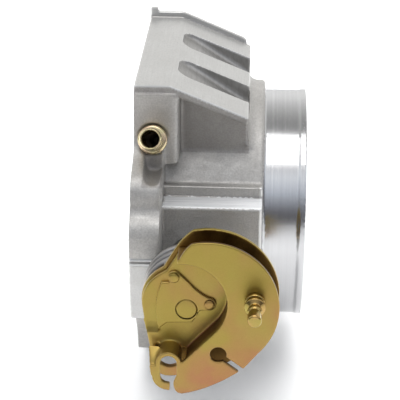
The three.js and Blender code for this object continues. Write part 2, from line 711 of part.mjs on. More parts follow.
function cableQuadrant() {
  const solid = join(
    prism('y', faceOutline(), lever.faceFront, lever.faceBack, { segments: 14 }),
    prism('y', wallOutline(), lever.faceFront, lever.floorBack, { segments: 10 }),
    prism('y', floorOutline(), lever.floorFront, lever.floorBack, { segments: 10 }),
    hookSolid(),
  );
  const slotAngle = Math.atan2(keyhole.slotToZ - keyhole.z, keyhole.slotToX - keyhole.x);
  const slotReach = 16;
  const slot = box(0, slotReach, leverCut.front, leverCut.behindFace, -keyhole.slot, keyhole.slot)
    .rotate(0, -slotAngle * 180 / Math.PI, 0)
    .translate(keyhole.x, 0, keyhole.z);
  return cut(
    solid,
    rod('y', leverCut.front, leverCut.behindFloor, shaft.spigot + gap, onShaft),
    rod('y', leverCut.front, leverCut.behindFace, keyhole.radius, [keyhole.x, 0, keyhole.z]),
    rod('y', leverCut.front, leverCut.behindFace, stud.shank + gap, [stud.x, 0, stud.z]),
    slot,
    hookOpening(),
    ...rivetHoles(),
  );
}

function rivetHoles() {
  return rivet.centres.map(([x, z]) => (
    rod('y', leverCut.front, leverCut.behindFloor, rivet.shank + gap, [x, 0, z], 16)
  ));
}

// The drive plate ties the quadrant to the staked shaft end: three arms, two of them riveted.
function drivePlate() {
  const [right, left] = rivet.centres;
  const shape = new THREE.Shape();
  shape.moveTo(13.4, -8.2);
  shape.lineTo(16.4, -5.7);
  shape.lineTo(25.6, -5.3);
  shape.quadraticCurveTo(27, -3.4, 27.6, -1);
  shape.lineTo(28.6, -0.3);
  shape.lineTo(31.9, -0.3);
  shape.absarc(...right, 2.5, -Math.PI / 2, Math.PI / 2, false);
  shape.quadraticCurveTo(29, 6, 26, 9);
  shape.quadraticCurveTo(23, 12.4, 20.9, 14.2);
  shape.absarc(...left, 2.4, radians(35), radians(235), false);
  shape.lineTo(14.4, 10.7);
  shape.quadraticCurveTo(10.8, 1.5, 13.4, -8.2);
  const solid = prism('y', shape, lever.driveFront, lever.driveBack);
  const shaftHole = rod('y', leverCut.front, leverCut.behindFloor, shaft.spigot + gap, onShaft);
  return cut(solid, shaftHole, ...rivetHoles());
}

function driveRivet([x, z]) {
  return turned('y', [
    [lever.floorBack, 0], [lever.floorBack, rivet.shank], [lever.driveFront - gap, rivet.shank],
    [lever.driveFront - gap, rivet.head], [lever.driveFront - 0.8, 1.5], [lever.driveFront - 0.9, 0],
  ], 16, [x, 0, z]);
}

function cableStud() {
  const face = lever.faceFront;
  const end = face - stud.length;
  return turned('y', [
    [lever.faceBack + 1.9, 0], [lever.faceBack + 1.9, 3.6], [lever.faceBack + gap, 4],
    [lever.faceBack + gap, stud.shank], [face - 3, stud.shank], [face - 3.4, 2.1],
    [face - 3.9, 3.8], [face - 5.2, 3.8], [face - 5.9, 2.2],
    [face - 7.2, 2.2], [face - 7.6, 2.7], [face - 9.2, 2.7], [face - 9.6, 2.2], [face - 11, 2.2],
    [face - 11.4, 2.6], [end + 0.6, 2.5], [end, 2.1], [end, 0],
  ], 16, [stud.x, 0, stud.z]);
}

function cableStudNut() {
  const face = lever.faceFront;
  return turned('y', [
    [face - gap, stud.shank + gap], [face - gap, 3.7], [face - 1.9, 3.7], [face - 2.3, 3.4],
    [face - 2.3, stud.shank + gap],
  ], 24, [stud.x, 0, stud.z]);
}

// ---------------------------------------------------------------- assembly
const object = new THREE.Group();
const housing = new THREE.Group();
const throttle = new THREE.Group();
object.add(housing, throttle);

function add(group, name, shape, look) {
  const geometry = shape instanceof THREE.BufferGeometry ? shape : geometryOf(shape);
  const mesh = new THREE.Mesh(geometry, new THREE.MeshStandardMaterial(look));
  mesh.name = name;
  group.add(mesh);
}

add(housing, 'body_casting', bodyCasting(), finish.cast);
add(housing, 'lever_bearing_outer_ring', bearingOuter(-1), finish.steel);
add(housing, 'sensor_bearing_outer_ring', bearingOuter(1), finish.steel);
add(housing, 'lever_bearing_ball_cage', bearingBallCage(-1), finish.steel);
add(housing, 'sensor_bearing_ball_cage', bearingBallCage(1), finish.steel);
add(housing, 'lever_shaft_seal', shaftSeal(-1), finish.rubber);
add(housing, 'sensor_shaft_seal', shaftSeal(1), finish.rubber);
add(housing, 'lever_retaining_ring', retainingRing(-1), finish.spring);
add(housing, 'sensor_retaining_ring', retainingRing(1), finish.spring);
add(housing, 'vacuum_nipple', vacuumNipple(), finish.zinc);
add(housing, 'idle_stop_screw', stopScrew(), finish.steel);
add(housing, 'idle_stop_locknut', stopLocknut(), finish.zinc);
add(housing, 'spring_anchor_pin', anchorPin(), finish.steel);

add(throttle, 'throttle_shaft', throttleShaft(), finish.steel);
add(throttle, 'throttle_plate', throttlePlate(), finish.brass);
add(throttle, 'plate_screw_lever_side', plateScrew(-plate.screwOffset), finish.steel);
add(throttle, 'plate_screw_sensor_side', plateScrew(plate.screwOffset), finish.steel);
add(throttle, 'lever_bearing_inner_ring', bearingInner(-1), finish.steel);
add(throttle, 'sensor_bearing_inner_ring', bearingInner(1), finish.steel);
add(throttle, 'shaft_spacer', shaftSpacer(), finish.steel);
add(throttle, 'spring_spool', springSpool(), finish.nylon);
add(throttle, 'return_spring_outer', torsionSpring(outerSpring), finish.spring);
add(throttle, 'return_spring_inner', torsionSpring(innerSpring), finish.spring);
add(throttle, 'lever_rear_plate', rearPlate(), finish.zinc);
add(throttle, 'cable_quadrant', cableQuadrant(), finish.zinc);
add(throttle, 'drive_plate', drivePlate(), finish.zinc);
add(throttle, 'drive_plate_rivet_right', driveRivet(rivet.centres[0]), finish.zinc);
add(throttle, 'drive_plate_rivet_left', driveRivet(rivet.centres[1]), finish.zinc);
add(throttle, 'cable_stud', cableStud(), finish.zinc);
add(throttle, 'cable_stud_nut', cableStudNut(), finish.zinc);

export default object;
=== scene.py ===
"""Cable-driven throttle body with an 80 mm bore, seen from the lever side.

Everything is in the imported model's frame: the bore lies along X with its manifold face at X = 0,
Z is up and the cable lever is towards -Y. Shapes are drawn in millimetres and made in metres.
"""

import math

import bmesh
import bpy
import numpy as np
from mathutils import Matrix, Vector, noise


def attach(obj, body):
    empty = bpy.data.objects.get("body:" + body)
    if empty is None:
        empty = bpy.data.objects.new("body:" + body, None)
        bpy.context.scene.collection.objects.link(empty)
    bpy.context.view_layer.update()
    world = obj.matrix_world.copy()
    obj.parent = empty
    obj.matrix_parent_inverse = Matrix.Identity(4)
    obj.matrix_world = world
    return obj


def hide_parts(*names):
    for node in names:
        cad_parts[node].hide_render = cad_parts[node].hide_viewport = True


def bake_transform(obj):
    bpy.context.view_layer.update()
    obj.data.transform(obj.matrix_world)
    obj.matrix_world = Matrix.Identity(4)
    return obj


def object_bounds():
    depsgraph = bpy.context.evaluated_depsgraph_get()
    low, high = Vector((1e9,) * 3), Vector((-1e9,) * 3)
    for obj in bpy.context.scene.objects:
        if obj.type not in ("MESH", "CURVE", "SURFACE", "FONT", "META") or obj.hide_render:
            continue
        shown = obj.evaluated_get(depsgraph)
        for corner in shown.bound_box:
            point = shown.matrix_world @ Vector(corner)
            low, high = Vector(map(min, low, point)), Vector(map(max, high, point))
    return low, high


MM = 0.001
GAP = 0.3

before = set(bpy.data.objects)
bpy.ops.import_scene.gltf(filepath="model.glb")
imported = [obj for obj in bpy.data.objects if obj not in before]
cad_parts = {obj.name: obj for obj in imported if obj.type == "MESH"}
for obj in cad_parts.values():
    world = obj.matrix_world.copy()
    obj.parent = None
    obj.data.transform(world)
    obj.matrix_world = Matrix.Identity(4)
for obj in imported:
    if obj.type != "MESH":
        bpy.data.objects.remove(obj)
cad_low, cad_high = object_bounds()
scene = bpy.context.scene


# ---------------------------------------------------------------- outlines
class Outline:
    """A closed outline in millimetres, drawn from point to point."""

    def __init__(self, u, v):
        self.points = [(u, v)]

    def line(self, u, v):
        self.points.append((u, v))
        return self

    def curve(self, control_u, control_v, u, v, steps=12):
        start_u, start_v = self.points[-1]
        for i in range(1, steps + 1):
            t = i / steps
            a, b, c = (1 - t) ** 2, 2 * t * (1 - t), t * t
            self.points.append(
                (a * start_u + b * control_u + c * u, a * start_v + b * control_v + c * v)
            )
        return self

    def arc(self, centre_u, centre_v, radius, start, end, step=3.0):
        count = max(3, round(abs(end - start) / step))
        for i in range(count + 1):
            angle = math.radians(start + (end - start) * i / count)
            self.points.append(
                (centre_u + radius * math.cos(angle), centre_v + radius * math.sin(angle))
            )
        return self


def distinct(points, closest=0.004):
    kept = []
    for point in points:
        if not kept or math.dist(point, kept[-1]) > closest:
            kept.append(point)
    if math.dist(kept[0], kept[-1]) <= closest:
        kept.pop()
    return kept


# ---------------------------------------------------------------- solids
def new_object(name, vertices, faces):
    """A mesh object, given in millimetres and made in metres, with its faces turned outwards."""
    mesh = bpy.data.meshes.new(name)
    mesh.from_pydata([tuple(c * MM for c in v) for v in vertices], [], faces)
    bm = bmesh.new()
    bm.from_mesh(mesh)
    bmesh.ops.recalc_face_normals(bm, faces=bm.faces)
    bm.to_mesh(mesh)
    bm.free()
    thing = bpy.data.objects.new(name, mesh)
    scene.collection.objects.link(thing)
    return thing


PLACE = {
    "x": lambda u, v, w: (w, u, v),
    "y": lambda u, v, w: (u, w, v),
    "z": lambda u, v, w: (u, v, w),
}


def prism(axis, outline, low, high, edge=0.0):
    """An outline swept along one axis, with its two rims rounded over by edge."""
    points = distinct(outline.points if isinstance(outline, Outline) else outline)
    count = len(points)
    place = PLACE[axis]
    vertices = [place(u, v, w) for w in (low, high) for u, v in points]
    faces = [tuple(range(count)), tuple(range(count, 2 * count))]
    faces += [
        (i, (i + 1) % count, count + (i + 1) % count, count + i) for i in range(count)
    ]
    solid = new_object("prism", vertices, faces)
    if edge:
        bm = bmesh.new()
        bm.from_mesh(solid.data)
        along = "xyz".index(axis)
        rims = [
            e for e in bm.edges
            if abs(e.verts[0].co[along] - e.verts[1].co[along]) < 1e-7
        ]
        bmesh.ops.bevel(
            bm, geom=rims, offset=edge * MM, segments=3, profile=0.5,
            affect="EDGES", clamp_overlap=True,
        )
        bm.to_mesh(solid.data)
        bm.free()
    return solid


def box(low, high):
    (x0, y0, z0), (x1, y1, z1) = low, high
    return prism("z", [(x0, y0), (x1, y0), (x1, y1), (x0, y1)], z0, z1)


DIRECTIONS = {"x": (1, 0, 0), "y": (0, 1, 0), "z": (0, 0, 1)}


def square_to(axis):
    """The axis's own direction, and two directions square to it."""
    direction = Vector(DIRECTIONS[axis] if isinstance(axis, str) else axis).normalized()
    helper = Vector((0, 1, 0)) if abs(direction.z) > 0.9 else Vector((0, 0, 1))
    side = direction.cross(helper).normalized()
    return direction, side, side.cross(direction).normalized()


def tube_faces(rows, around):
    """The faces of a tube made of equal rings of vertices, with both of its ends closed."""
    faces = []
    for i in range(rows - 1):
        for k in range(around):
            a, b = i * around + k, i * around + (k + 1) % around
            faces.append((a, b, b + around, a + around))
    faces.append(tuple(range(around)))
    faces.append(tuple(range((rows - 1) * around, rows * around)))
    return faces


def turned(axis, profile, centre=(0, 0, 0), segments=96, sweep=(0, 360)):
    """A closed profile of (distance along the axis, radius) points, turned about the axis."""
    direction, side, up = square_to(axis)
    origin = Vector(centre)
    whole = sweep == (0, 360)
    columns = segments if whole else segments + 1
    vertices, rows = [], []
    for along, radius in profile:
        row = []
        for i in range(columns if radius > 1e-6 else 1):
            angle = math.radians(sweep[0] + (sweep[1] - sweep[0]) * i / segments)
            across = side * math.cos(angle) + up * math.sin(angle)
            row.append(len(vertices))
            vertices.append(tuple(origin + direction * along + across * radius))
        rows.append(row)
    faces = []
    for k in range(len(rows)):
        a, b = rows[k], rows[(k + 1) % len(rows)]
        if len(a) == 1 and len(b) == 1:
            continue
        for i in range(segments):
            j = (i + 1) % columns
            corners = [a[i % len(a)], a[j % len(a)], b[j % len(b)], b[i % len(b)]]
            kept = list(dict.fromkeys(corners))
            if len(kept) > 2:
                faces.append(tuple(kept))
    if not whole:
        faces.append(tuple(row[0] for row in rows))
        faces.append(tuple(row[-1] for row in rows))
    return new_object("turned", vertices, faces)


def rod(axis, low, high, radius, centre=(0, 0, 0), segments=64):
    return turned(axis, [(low, 0), (low, radius), (high, radius), (high, 0)], centre, segments)


def ring(axis, low, high, inner, outer, centre=(0, 0, 0), segments=64):
    return turned(
        axis, [(low, inner), (low, outer), (high, outer), (high, inner)], centre, segments
    )


def rounded_profile(profile, radius, steps=4):
    """The same closed profile with each corner off the axis rounded by up to radius."""
    made = []
    count = len(profile)
    for i, corner in enumerate(profile):
        here = Vector(corner)
        if here.y < 1e-6:
            made.append(corner)
            continue
        before, after = Vector(profile[i - 1]), Vector(profile[(i + 1) % count])
        reach = min(
            radius, (before - here).length * 0.45, (after - here).length * 0.45
        )
        start = here + (before - here).normalized() * reach
        end = here + (after - here).normalized() * reach
        for k in range(steps + 1):
            t = k / steps
            point = start * (1 - t) ** 2 + here * 2 * t * (1 - t) + end * t * t
            made.append((point.x, point.y))
    return made


def join(objects, name):
    """One object that holds all the given meshes."""
    bm = bmesh.new()
    for thing in objects:
        bm.from_mesh(thing.data)
    mesh = bpy.data.meshes.new(name)
    bm.to_mesh(mesh)
    bm.free()
    for thing in objects:
        discard(thing)
    whole = bpy.data.objects.new(name, mesh)
    scene.collection.objects.link(whole)
    return whole


def discard(thing):
    mesh = thing.data
    bpy.data.objects.remove(thing)
    bpy.data.meshes.remove(mesh)


def apply_modifiers(thing):
    graph = bpy.context.evaluated_depsgraph_get()
    made = bpy.data.meshes.new_from_object(thing.evaluated_get(graph), depsgraph=graph)
    old = thing.data
    thing.modifiers.clear()
    thing.data = made
    bpy.data.meshes.remove(old)
    made.name = thing.name
    return thing


def combine(thing, other, operation):
    """Adds, cuts or intersects with the solver that also takes shells which cross themselves."""
    step = thing.modifiers.new("combine", "BOOLEAN")
    step.object = other
    step.operation = operation
    step.solver = "EXACT"
    step.use_self = True
    apply_modifiers(thing)
    discard(other)
    return thing


def cut(thing, tools):
    return combine(thing, join(tools, "tools"), "DIFFERENCE")


# ---------------------------------------------------------------- surface refinement
def either(full):
    """The value given, used as it is."""
    return full


def rows_of(items, key, width=3):
    """A table with one row of numbers for each of a mesh's vertices, faces or layer values."""
    values = np.empty(len(items) * width)
    items.foreach_get(key, values)
    return values.reshape(-1, width)


def coordinates(mesh):
    return rows_of(mesh.vertices, "co")


def edge_ends(mesh):
    ends = np.empty(len(mesh.edges) * 2, np.int32)
    mesh.edges.foreach_get("vertices", ends)
    return ends.reshape(-1, 2).T


def stored(mesh, name):
    return rows_of(mesh.attributes[name].data, "value", 1)[:, 0]


def store(mesh, name, values):
    layer = mesh.attributes.get(name) or mesh.attributes.new(name, "FLOAT", "POINT")
    layer.data.foreach_set("value", values.astype(np.float32))


def set_coordinates(mesh, values):
    mesh.vertices.foreach_set("co", values.astype(np.float32).ravel())
    mesh.update()


def relaxed(mesh, weight, rounds, factor=0.5):
    """Moves each vertex towards the middle of its neighbours, which rounds edges and corners."""
    points = coordinates(mesh)
    a, b = edge_ends(mesh)
    count = len(points)
    degree = np.maximum(np.bincount(a, minlength=count) + np.bincount(b, minlength=count), 1)
    for _ in range(rounds):
        total = np.stack(
            [
                np.bincount(a, points[b, k], count) + np.bincount(b, points[a, k], count)
                for k in range(3)
            ],
            axis=1,
        )
        points += (total / degree[:, None] - points) * (weight * factor)[:, None]
    set_coordinates(mesh, points)


def refined(thing, voxel, rounds, weight_of=None, keep=None):
    """Rebuilds a solid as an even skin that follows its flat and turned faces and rounds its
    edges. weight_of gives how much each point is smoothed, and keep the share of faces left."""
    source = thing.copy()
    source.data = thing.data.copy()
    scene.collection.objects.link(source)
    skin = thing.modifiers.new("skin", "REMESH")
    skin.mode = "VOXEL"
    skin.voxel_size = voxel * MM
    wrap = thing.modifiers.new("wrap", "SHRINKWRAP")
    wrap.target = source
    wrap.wrap_method = "NEAREST_SURFACEPOINT"
    apply_modifiers(thing)
    discard(source)
    points = coordinates(thing.data) / MM
    weight = np.ones(len(points)) if weight_of is None else weight_of(points)
    relaxed(thing.data, weight, rounds)
    if keep:
        thin = thing.modifiers.new("thin", "DECIMATE")
        thin.ratio = keep
        apply_modifiers(thing)
    return thing


def shade(thing, angle=35):
    """Smooth shading, with edges sharper than the angle kept crisp and large faces kept flat."""
    mesh = thing.data
    mesh.shade_smooth()
    mesh.set_sharp_from_angle(angle=math.radians(angle))
    weighted = thing.modifiers.new("weighted", "WEIGHTED_NORMAL")
    weighted.keep_sharp = True
    return thing


# ---------------------------------------------------------------- materials
class Tree:
    """A material's node tree, with short calls for the nodes used here."""

    def __init__(self, name):
        self.material = bpy.data.materials.new(name)
        self.material.use_nodes = True
        self.nodes = self.material.node_tree.nodes
        self.links = self.material.node_tree.links
        self.shader = self.nodes["Principled BSDF"]
        self.where = self.make("TexCoord").outputs["Object"]

    def link(self, value, socket):
        if isinstance(value, bpy.types.NodeSocket):
            self.links.new(value, socket)
        else:
            socket.default_value = value

    def make(self, kind, **inputs):
        """A new node with its inputs set or linked. An underscore stands for a space."""
        node = self.nodes.new("ShaderNode" + kind)
        for name, value in inputs.items():
            self.link(value, node.inputs[name.replace("_", " ")])
        return node

    def scaled(self, scale, turn=(0, 0, 0)):
        node = self.make("Mapping", Vector=self.where, Scale=scale, Rotation=turn)
        return node.outputs["Vector"]

    def noise(self, scale, detail=3.0, rough=0.5, vector=None, distortion=0.0):
        return self.make(
            "TexNoise", Vector=vector or self.where, Scale=scale, Detail=detail,
            Roughness=rough, Distortion=distortion,
        ).outputs["Fac"]

    def cells(self, scale):
        return self.make("TexVoronoi", Vector=self.where, Scale=scale).outputs["Distance"]

    def spread(self, value, low, high, to_low=0.0, to_high=1.0):
        return self.make(
            "MapRange", Value=value, From_Min=low, From_Max=high, To_Min=to_low, To_Max=to_high
        ).outputs["Result"]

    def sum(self, a, b, operation="ADD"):
        node = self.nodes.new("ShaderNodeMath")
        node.operation = operation
        self.link(a, node.inputs[0])
        self.link(b, node.inputs[1])
        return node.outputs[0]

    def blend(self, share, first, second):
        node = self.nodes.new("ShaderNodeMix")
        node.data_type = "RGBA"
        self.link(share, node.inputs["Factor"])
        self.link(colour(first), node.inputs["A"])
        self.link(colour(second), node.inputs["B"])
        return node.outputs["Result"]

    def attribute(self, name, strength=1.0):
        node = self.make("Attribute")
        node.attribute_name = name
        return self.sum(node.outputs["Fac"], strength, "MULTIPLY")

    def layer(self, base, value, low, high, share, over):
        """Another colour over the base where the value is high, by at most share."""
        return self.blend(self.spread(value, low, high, 0.0, share), base, over)

    def marked(self, base, name, over, strength=1.0):
        """Another colour over the base where a stored attribute is high."""
        return self.blend(self.attribute(name, strength), base, over)

    def axes(self):
        return self.make("SeparateXYZ", Vector=self.where).outputs

    def bump(self, height, strength, depth, before=None):
        node = self.make("Bump", Strength=strength, Distance=depth * MM, Height=height)
        if before:
            self.links.new(before, node.inputs["Normal"])
        return node.outputs["Normal"]

    def finish(self, base, rough, metallic, normal=None):
        self.link(colour(base), self.shader.inputs["Base Color"])
        self.link(rough, self.shader.inputs["Roughness"])
        self.shader.inputs["Metallic"].default_value = metallic
        if normal:
            self.links.new(normal, self.shader.inputs["Normal"])
        return self.material


def grey(value):
    return value, value, value


def colour(value):
    return (*value, 1.0) if isinstance(value, tuple) and len(value) == 3 else value


def cast_aluminium():
    """Blasted sand-cast aluminium: a fine even grain with a few pits, with painted shade in its
    hollows and a faint painted highlight on its ridges.
    """
    t = Tree("cast_aluminium")
    grain = t.noise(1500, 4.0, 0.62)
    coarse = t.noise(420, 2.0, 0.5)
    pits = t.spread(t.cells(900), 0.0, 0.22)
    cloud = t.noise(45, 3.0, 0.55)
    base = t.blend(t.spread(cloud, 0.35, 0.65), (0.475, 0.46, 0.44), (0.58, 0.566, 0.543))
    base = t.blend(t.spread(grain, 0.34, 0.66), t.blend(0.35, base, (0.22, 0.21, 0.20)), base)
    base = t.layer(base, coarse, 0.6, 0.8, 0.5, (0.62, 0.61, 0.59))
    # Painted shade in the hollows and a faint painted highlight on the ridges.
    base = t.marked(base, "hollow", (0.17, 0.152, 0.143))
    base = t.marked(base, "ridge", (0.60, 0.59, 0.57), 0.3)
    rough = t.spread(coarse, 0.3, 0.7, 0.50, 0.66)
    normal = t.bump(grain, 0.65, 0.12)
    normal = t.bump(coarse, 0.40, 0.13, normal)
    normal = t.bump(pits, 0.35, 0.10, normal)
    return t.finish(base, rough, 0.82, normal)


def milled_aluminium():
    """Face-milled aluminium with faint parallel cutter marks, painted shade in its hollows and a
    bright painted highlight on its edges.
    """
    t = Tree("milled_aluminium")
    lines = t.noise(1.0, 2.0, 0.6, t.scaled((2600, 60, 2600), (0, 0.39, 0)))
    cloud = t.noise(80, 3.0, 0.5)
    speckle = t.noise(1300, 3.0, 0.6)
    base = t.blend(t.spread(lines, 0.3, 0.7), (0.545, 0.54, 0.525), (0.61, 0.605, 0.59))
    base = t.layer(base, cloud, 0.38, 0.62, 0.5, (0.53, 0.522, 0.505))
    base = t.layer(base, speckle, 0.5, 0.75, 0.4, (0.44, 0.435, 0.42))
    # Painted shade in the hollows and a bright painted highlight on the edges.
    base = t.marked(base, "hollow", (0.26, 0.245, 0.23))
    base = t.marked(base, "ridge", (0.90, 0.895, 0.88), 0.85)
    rough = t.spread(speckle, 0.3, 0.7, 0.36, 0.48)
    normal = t.bump(lines, 0.12, 0.03)
    normal = t.bump(speckle, 0.22, 0.04, normal)
    return t.finish(base, rough, 0.88, normal)


def end_milled_aluminium():
    """The pockets' rougher finish: arcs left by an end mill, duller than the faces around, with
    painted highlights in its corners and on its edges.
    """
    t = Tree("end_milled_aluminium")
    arcs = t.noise(1.0, 3.0, 0.6, t.scaled((1100, 70, 300), (0, 0.6, 0)))
    speckle = t.noise(1500, 3.0, 0.6)
    cloud = t.noise(70, 2.0, 0.5)
    base = t.blend(t.spread(arcs, 0.3, 0.7), (0.34, 0.332, 0.32), (0.44, 0.43, 0.417))
    base = t.layer(base, cloud, 0.35, 0.65, 0.4, (0.22, 0.212, 0.2))
    # Painted highlights: the corners and the edges are lightened.
    base = t.marked(base, "hollow", (0.60, 0.59, 0.575), 0.8)
    base = t.marked(base, "ridge", (0.80, 0.79, 0.78), 0.9)
    rough = t.spread(speckle, 0.3, 0.7, 0.42, 0.56)
    normal = t.bump(arcs, 0.25, 0.05)
    normal = t.bump(speckle, 0.25, 0.04, normal)
    return t.finish(base, rough, 0.85, normal)


def ledge_painted_highlight():
    """The step beside the pad, with tracks from a wide cutter that ran along it; its bright, satiny
    colour is a painted highlight, with painted shade in its hollows.
    """
    t = Tree("ledge_painted_highlight")
    tracks = t.noise(1.0, 3.0, 0.65, t.scaled((14, 1500, 1500)))
    speckle = t.noise(1400, 3.0, 0.6)
    # The bright base colour is a painted highlight.
    base = t.blend(t.spread(tracks, 0.35, 0.62), (0.50, 0.51, 0.52), grey(0.84))
    base = t.layer(base, speckle, 0.5, 0.8, 0.3, grey(0.70))
    base = t.marked(base, "hollow", (0.30, 0.29, 0.28), 0.8)
    rough = t.spread(speckle, 0.3, 0.7, 0.40, 0.52)
    return t.finish(base, rough, 0.22, t.bump(tracks, 0.2, 0.03))


def turned_aluminium():
    """Bright turned aluminium: fine grooves run round the bore's axis."""
    t = Tree("turned_aluminium")
    fine = t.noise(1.0, 3.0, 0.7, t.scaled((5200, 5, 5)))
    bands = t.noise(1.0, 2.0, 0.5, t.scaled((650, 4, 4)))
    smear = t.noise(60, 3.0, 0.5)
    base = t.blend(t.spread(fine, 0.3, 0.7), (0.555, 0.555, 0.56), (0.655, 0.655, 0.66))
    base = t.layer(base, bands, 0.35, 0.65, 0.3, (0.50, 0.50, 0.51))
    rough = t.sum(t.spread(fine, 0.3, 0.7, 0.13, 0.19), t.spread(smear, 0.3, 0.7, 0.0, 0.05))
    normal = t.bump(fine, 0.22, 0.02)
    return t.finish(base, rough, 0.97, normal)


def zinc_colours(t):
    """Olive gold that drifts to rose where the yellow passivation is thick, with painted shade in
    hollows and under downward faces and a painted highlight on ridges.
    """
    x, _, z = t.axes()
    drift = t.noise(34, 2.0, 0.5, distortion=0.9)
    fall = t.sum(t.sum(x, 8.0, "MULTIPLY"), t.sum(z, -13.0, "MULTIPLY"))
    rosy = t.spread(t.sum(fall, t.sum(drift, 2.0, "MULTIPLY")), 1.12, 1.78)
    base = t.blend(rosy, (0.345, 0.262, 0.062), (0.385, 0.174, 0.088))
    green = t.noise(60, 2.0, 0.5)
    base = t.layer(base, green, 0.52, 0.68, 0.45, (0.35, 0.31, 0.075))
    patches = t.noise(150, 3.0, 0.55)
    base = t.layer(base, patches, 0.42, 0.68, 0.35, (0.43, 0.285, 0.085))
    speck = t.noise(1900, 2.0, 0.6)
    base = t.layer(base, speck, 0.4, 0.75, 0.30, (0.27, 0.185, 0.05))
    # Painted shade in hollows and under downward faces, and a painted highlight on ridges.
    base = t.marked(base, "hollow", (0.10, 0.055, 0.012), 0.8)
    base = t.marked(base, "ridge", (0.62, 0.47, 0.18), 0.35)
    base = t.marked(base, "under", (0.07, 0.036, 0.008), 0.85)
    return base, patches, speck


def yellow_zinc():
    """Yellow-passivated zinc on stamped steel."""
    t = Tree("yellow_zinc")
    base, patches, speck = zinc_colours(t)
    rough = t.spread(patches, 0.3, 0.7, 0.32, 0.42)
    normal = t.bump(patches, 0.10, 0.10)
    normal = t.bump(speck, 0.12, 0.02, normal)
    return t.finish(base, rough, 0.93, normal)


def drawn_zinc_light_and_shade():
    """The plating on the drawn wall with painted light on it: a rosy painted highlight at its foot,
    painted dark shade in the middle and plain olive plating at the top.
    """
    t = Tree("drawn_zinc_light_and_shade")
    base, patches, speck = zinc_colours(t)
    _, y, _ = t.axes()
    # The foot gets the painted highlight, the middle the painted shade, and the top the plain
    # plating.
    foot = t.spread(y, -0.1030, -0.1015)
    crest = t.spread(y, -0.1074, -0.1100)
    shade_brown = t.blend(t.spread(patches, 0.3, 0.7), (0.075, 0.030, 0.010), (0.14, 0.062, 0.022))
    inside = t.blend(t.sum(foot, 0.75, "MULTIPLY"), shade_brown, (0.42, 0.215, 0.115))
    inside = t.blend(t.sum(crest, 0.8, "MULTIPLY"), inside, base)
    rough = t.spread(patches, 0.3, 0.7, 0.34, 0.46)
    return t.finish(inside, rough, 0.92, t.bump(speck, 0.15, 0.02))


def shaded_zinc():
    """The same plating darkened by painted shade inside the groove, where the wall and plates shadow
    it, paler towards the left.
    """
    t = Tree("shaded_zinc")
    x, _, _ = t.axes()
    drift = t.noise(90, 3.0, 0.55, distortion=0.5)
    base = t.blend(t.spread(drift, 0.35, 0.65), (0.095, 0.048, 0.010), (0.17, 0.095, 0.022))
    base = t.layer(base, x, 0.029, 0.020, 0.6, (0.36, 0.22, 0.055))
    speck = t.noise(1700, 2.0, 0.6)
    base = t.layer(base, speck, 0.3, 0.7, 0.3, (0.04, 0.02, 0.006))
    rough = t.spread(drift, 0.3, 0.7, 0.38, 0.5)
    return t.finish(base, rough, 0.9, t.bump(speck, 0.15, 0.02))


def fitting_zinc(name, low, high, rough_low, rough_high):
    """Bright plating on a turned fitting, with the faint rings that the tool left and painted shade
    in its hollows.
    """
    t = Tree(name)
    drift = t.noise(170, 2.0, 0.5, distortion=0.8)
    rings = t.noise(1.0, 2.0, 0.6, t.scaled((30, 3800, 30)))
    base = t.blend(t.spread(drift, 0.35, 0.65), low, high)
    speck = t.noise(2300, 2.0, 0.6)
    base = t.layer(base, speck, 0.3, 0.7, 0.25, (0.40, 0.32, 0.13))
    # Painted shade in the hollows.
    base = t.marked(base, "hollow", (0.14, 0.09, 0.02))
    rough = t.spread(drift, 0.3, 0.7, rough_low, rough_high)
    return t.finish(base, rough, 0.97, t.bump(rings, 0.18, 0.02, t.bump(speck, 0.12, 0.02)))


def plain_steel(name, base_low, base_high, rough_low, rough_high):
    """Steel with an even grain, with painted shade in its corners."""
    t = Tree(name)
    cloud = t.noise(200, 3.0, 0.55)
    fine = t.noise(1600, 3.0, 0.6)
    base = t.blend(t.spread(cloud, 0.35, 0.65), base_low, base_high)
    # Painted shade in the corners.
    base = t.marked(base, "hollow", (0.06, 0.055, 0.05))
    rough = t.spread(fine, 0.3, 0.7, rough_low, rough_high)
    return t.finish(base, rough, 0.97, t.bump(fine, 0.05, 0.01))


def satin_brass():
    """Throttle plate: brass faced with a fine grain, a little tarnished."""
    t = Tree("satin_brass")
    grain = t.noise(1.0, 2.0, 0.6, t.scaled((300, 300, 4200)))
    tarnish = t.noise(55, 3.0, 0.6, distortion=0.4)
    base = t.blend(t.spread(grain, 0.3, 0.7), (0.50, 0.37, 0.16), (0.62, 0.47, 0.22))
    base = t.layer(base, tarnish, 0.5, 0.75, 0.6, (0.30, 0.20, 0.08))
    rough = t.spread(tarnish, 0.3, 0.7, 0.26, 0.42)
    return t.finish(base, rough, 0.97, t.bump(grain, 0.2, 0.02))


def soft_black(name, base, rough_low, rough_high, grain):
    """Black rubber or nylon with a dull grain and a little dust."""
    t = Tree(name)
    fine = t.noise(grain, 3.0, 0.6)
    dust = t.noise(90, 3.0, 0.6)
    shade_of = t.blend(t.spread(dust, 0.4, 0.7), base, tuple(c * 2.2 for c in base))
    return t.finish(
        shade_of, t.spread(fine, 0.3, 0.7, rough_low, rough_high), 0.0, t.bump(fine, 0.3, 0.04)
    )


CAST = cast_aluminium()
MILLED = milled_aluminium()
TURNED = turned_aluminium()
END_MILLED = end_milled_aluminium()
LEDGE_HIGHLIGHT = ledge_painted_highlight()
ZINC = yellow_zinc()
DRAWN_ZINC_LIGHT_AND_SHADE = drawn_zinc_light_and_shade()
SHADED_ZINC = shaded_zinc()
PALE_ZINC = fitting_zinc("pale_zinc", (0.70, 0.62, 0.36), (0.74, 0.56, 0.40), 0.20, 0.30)
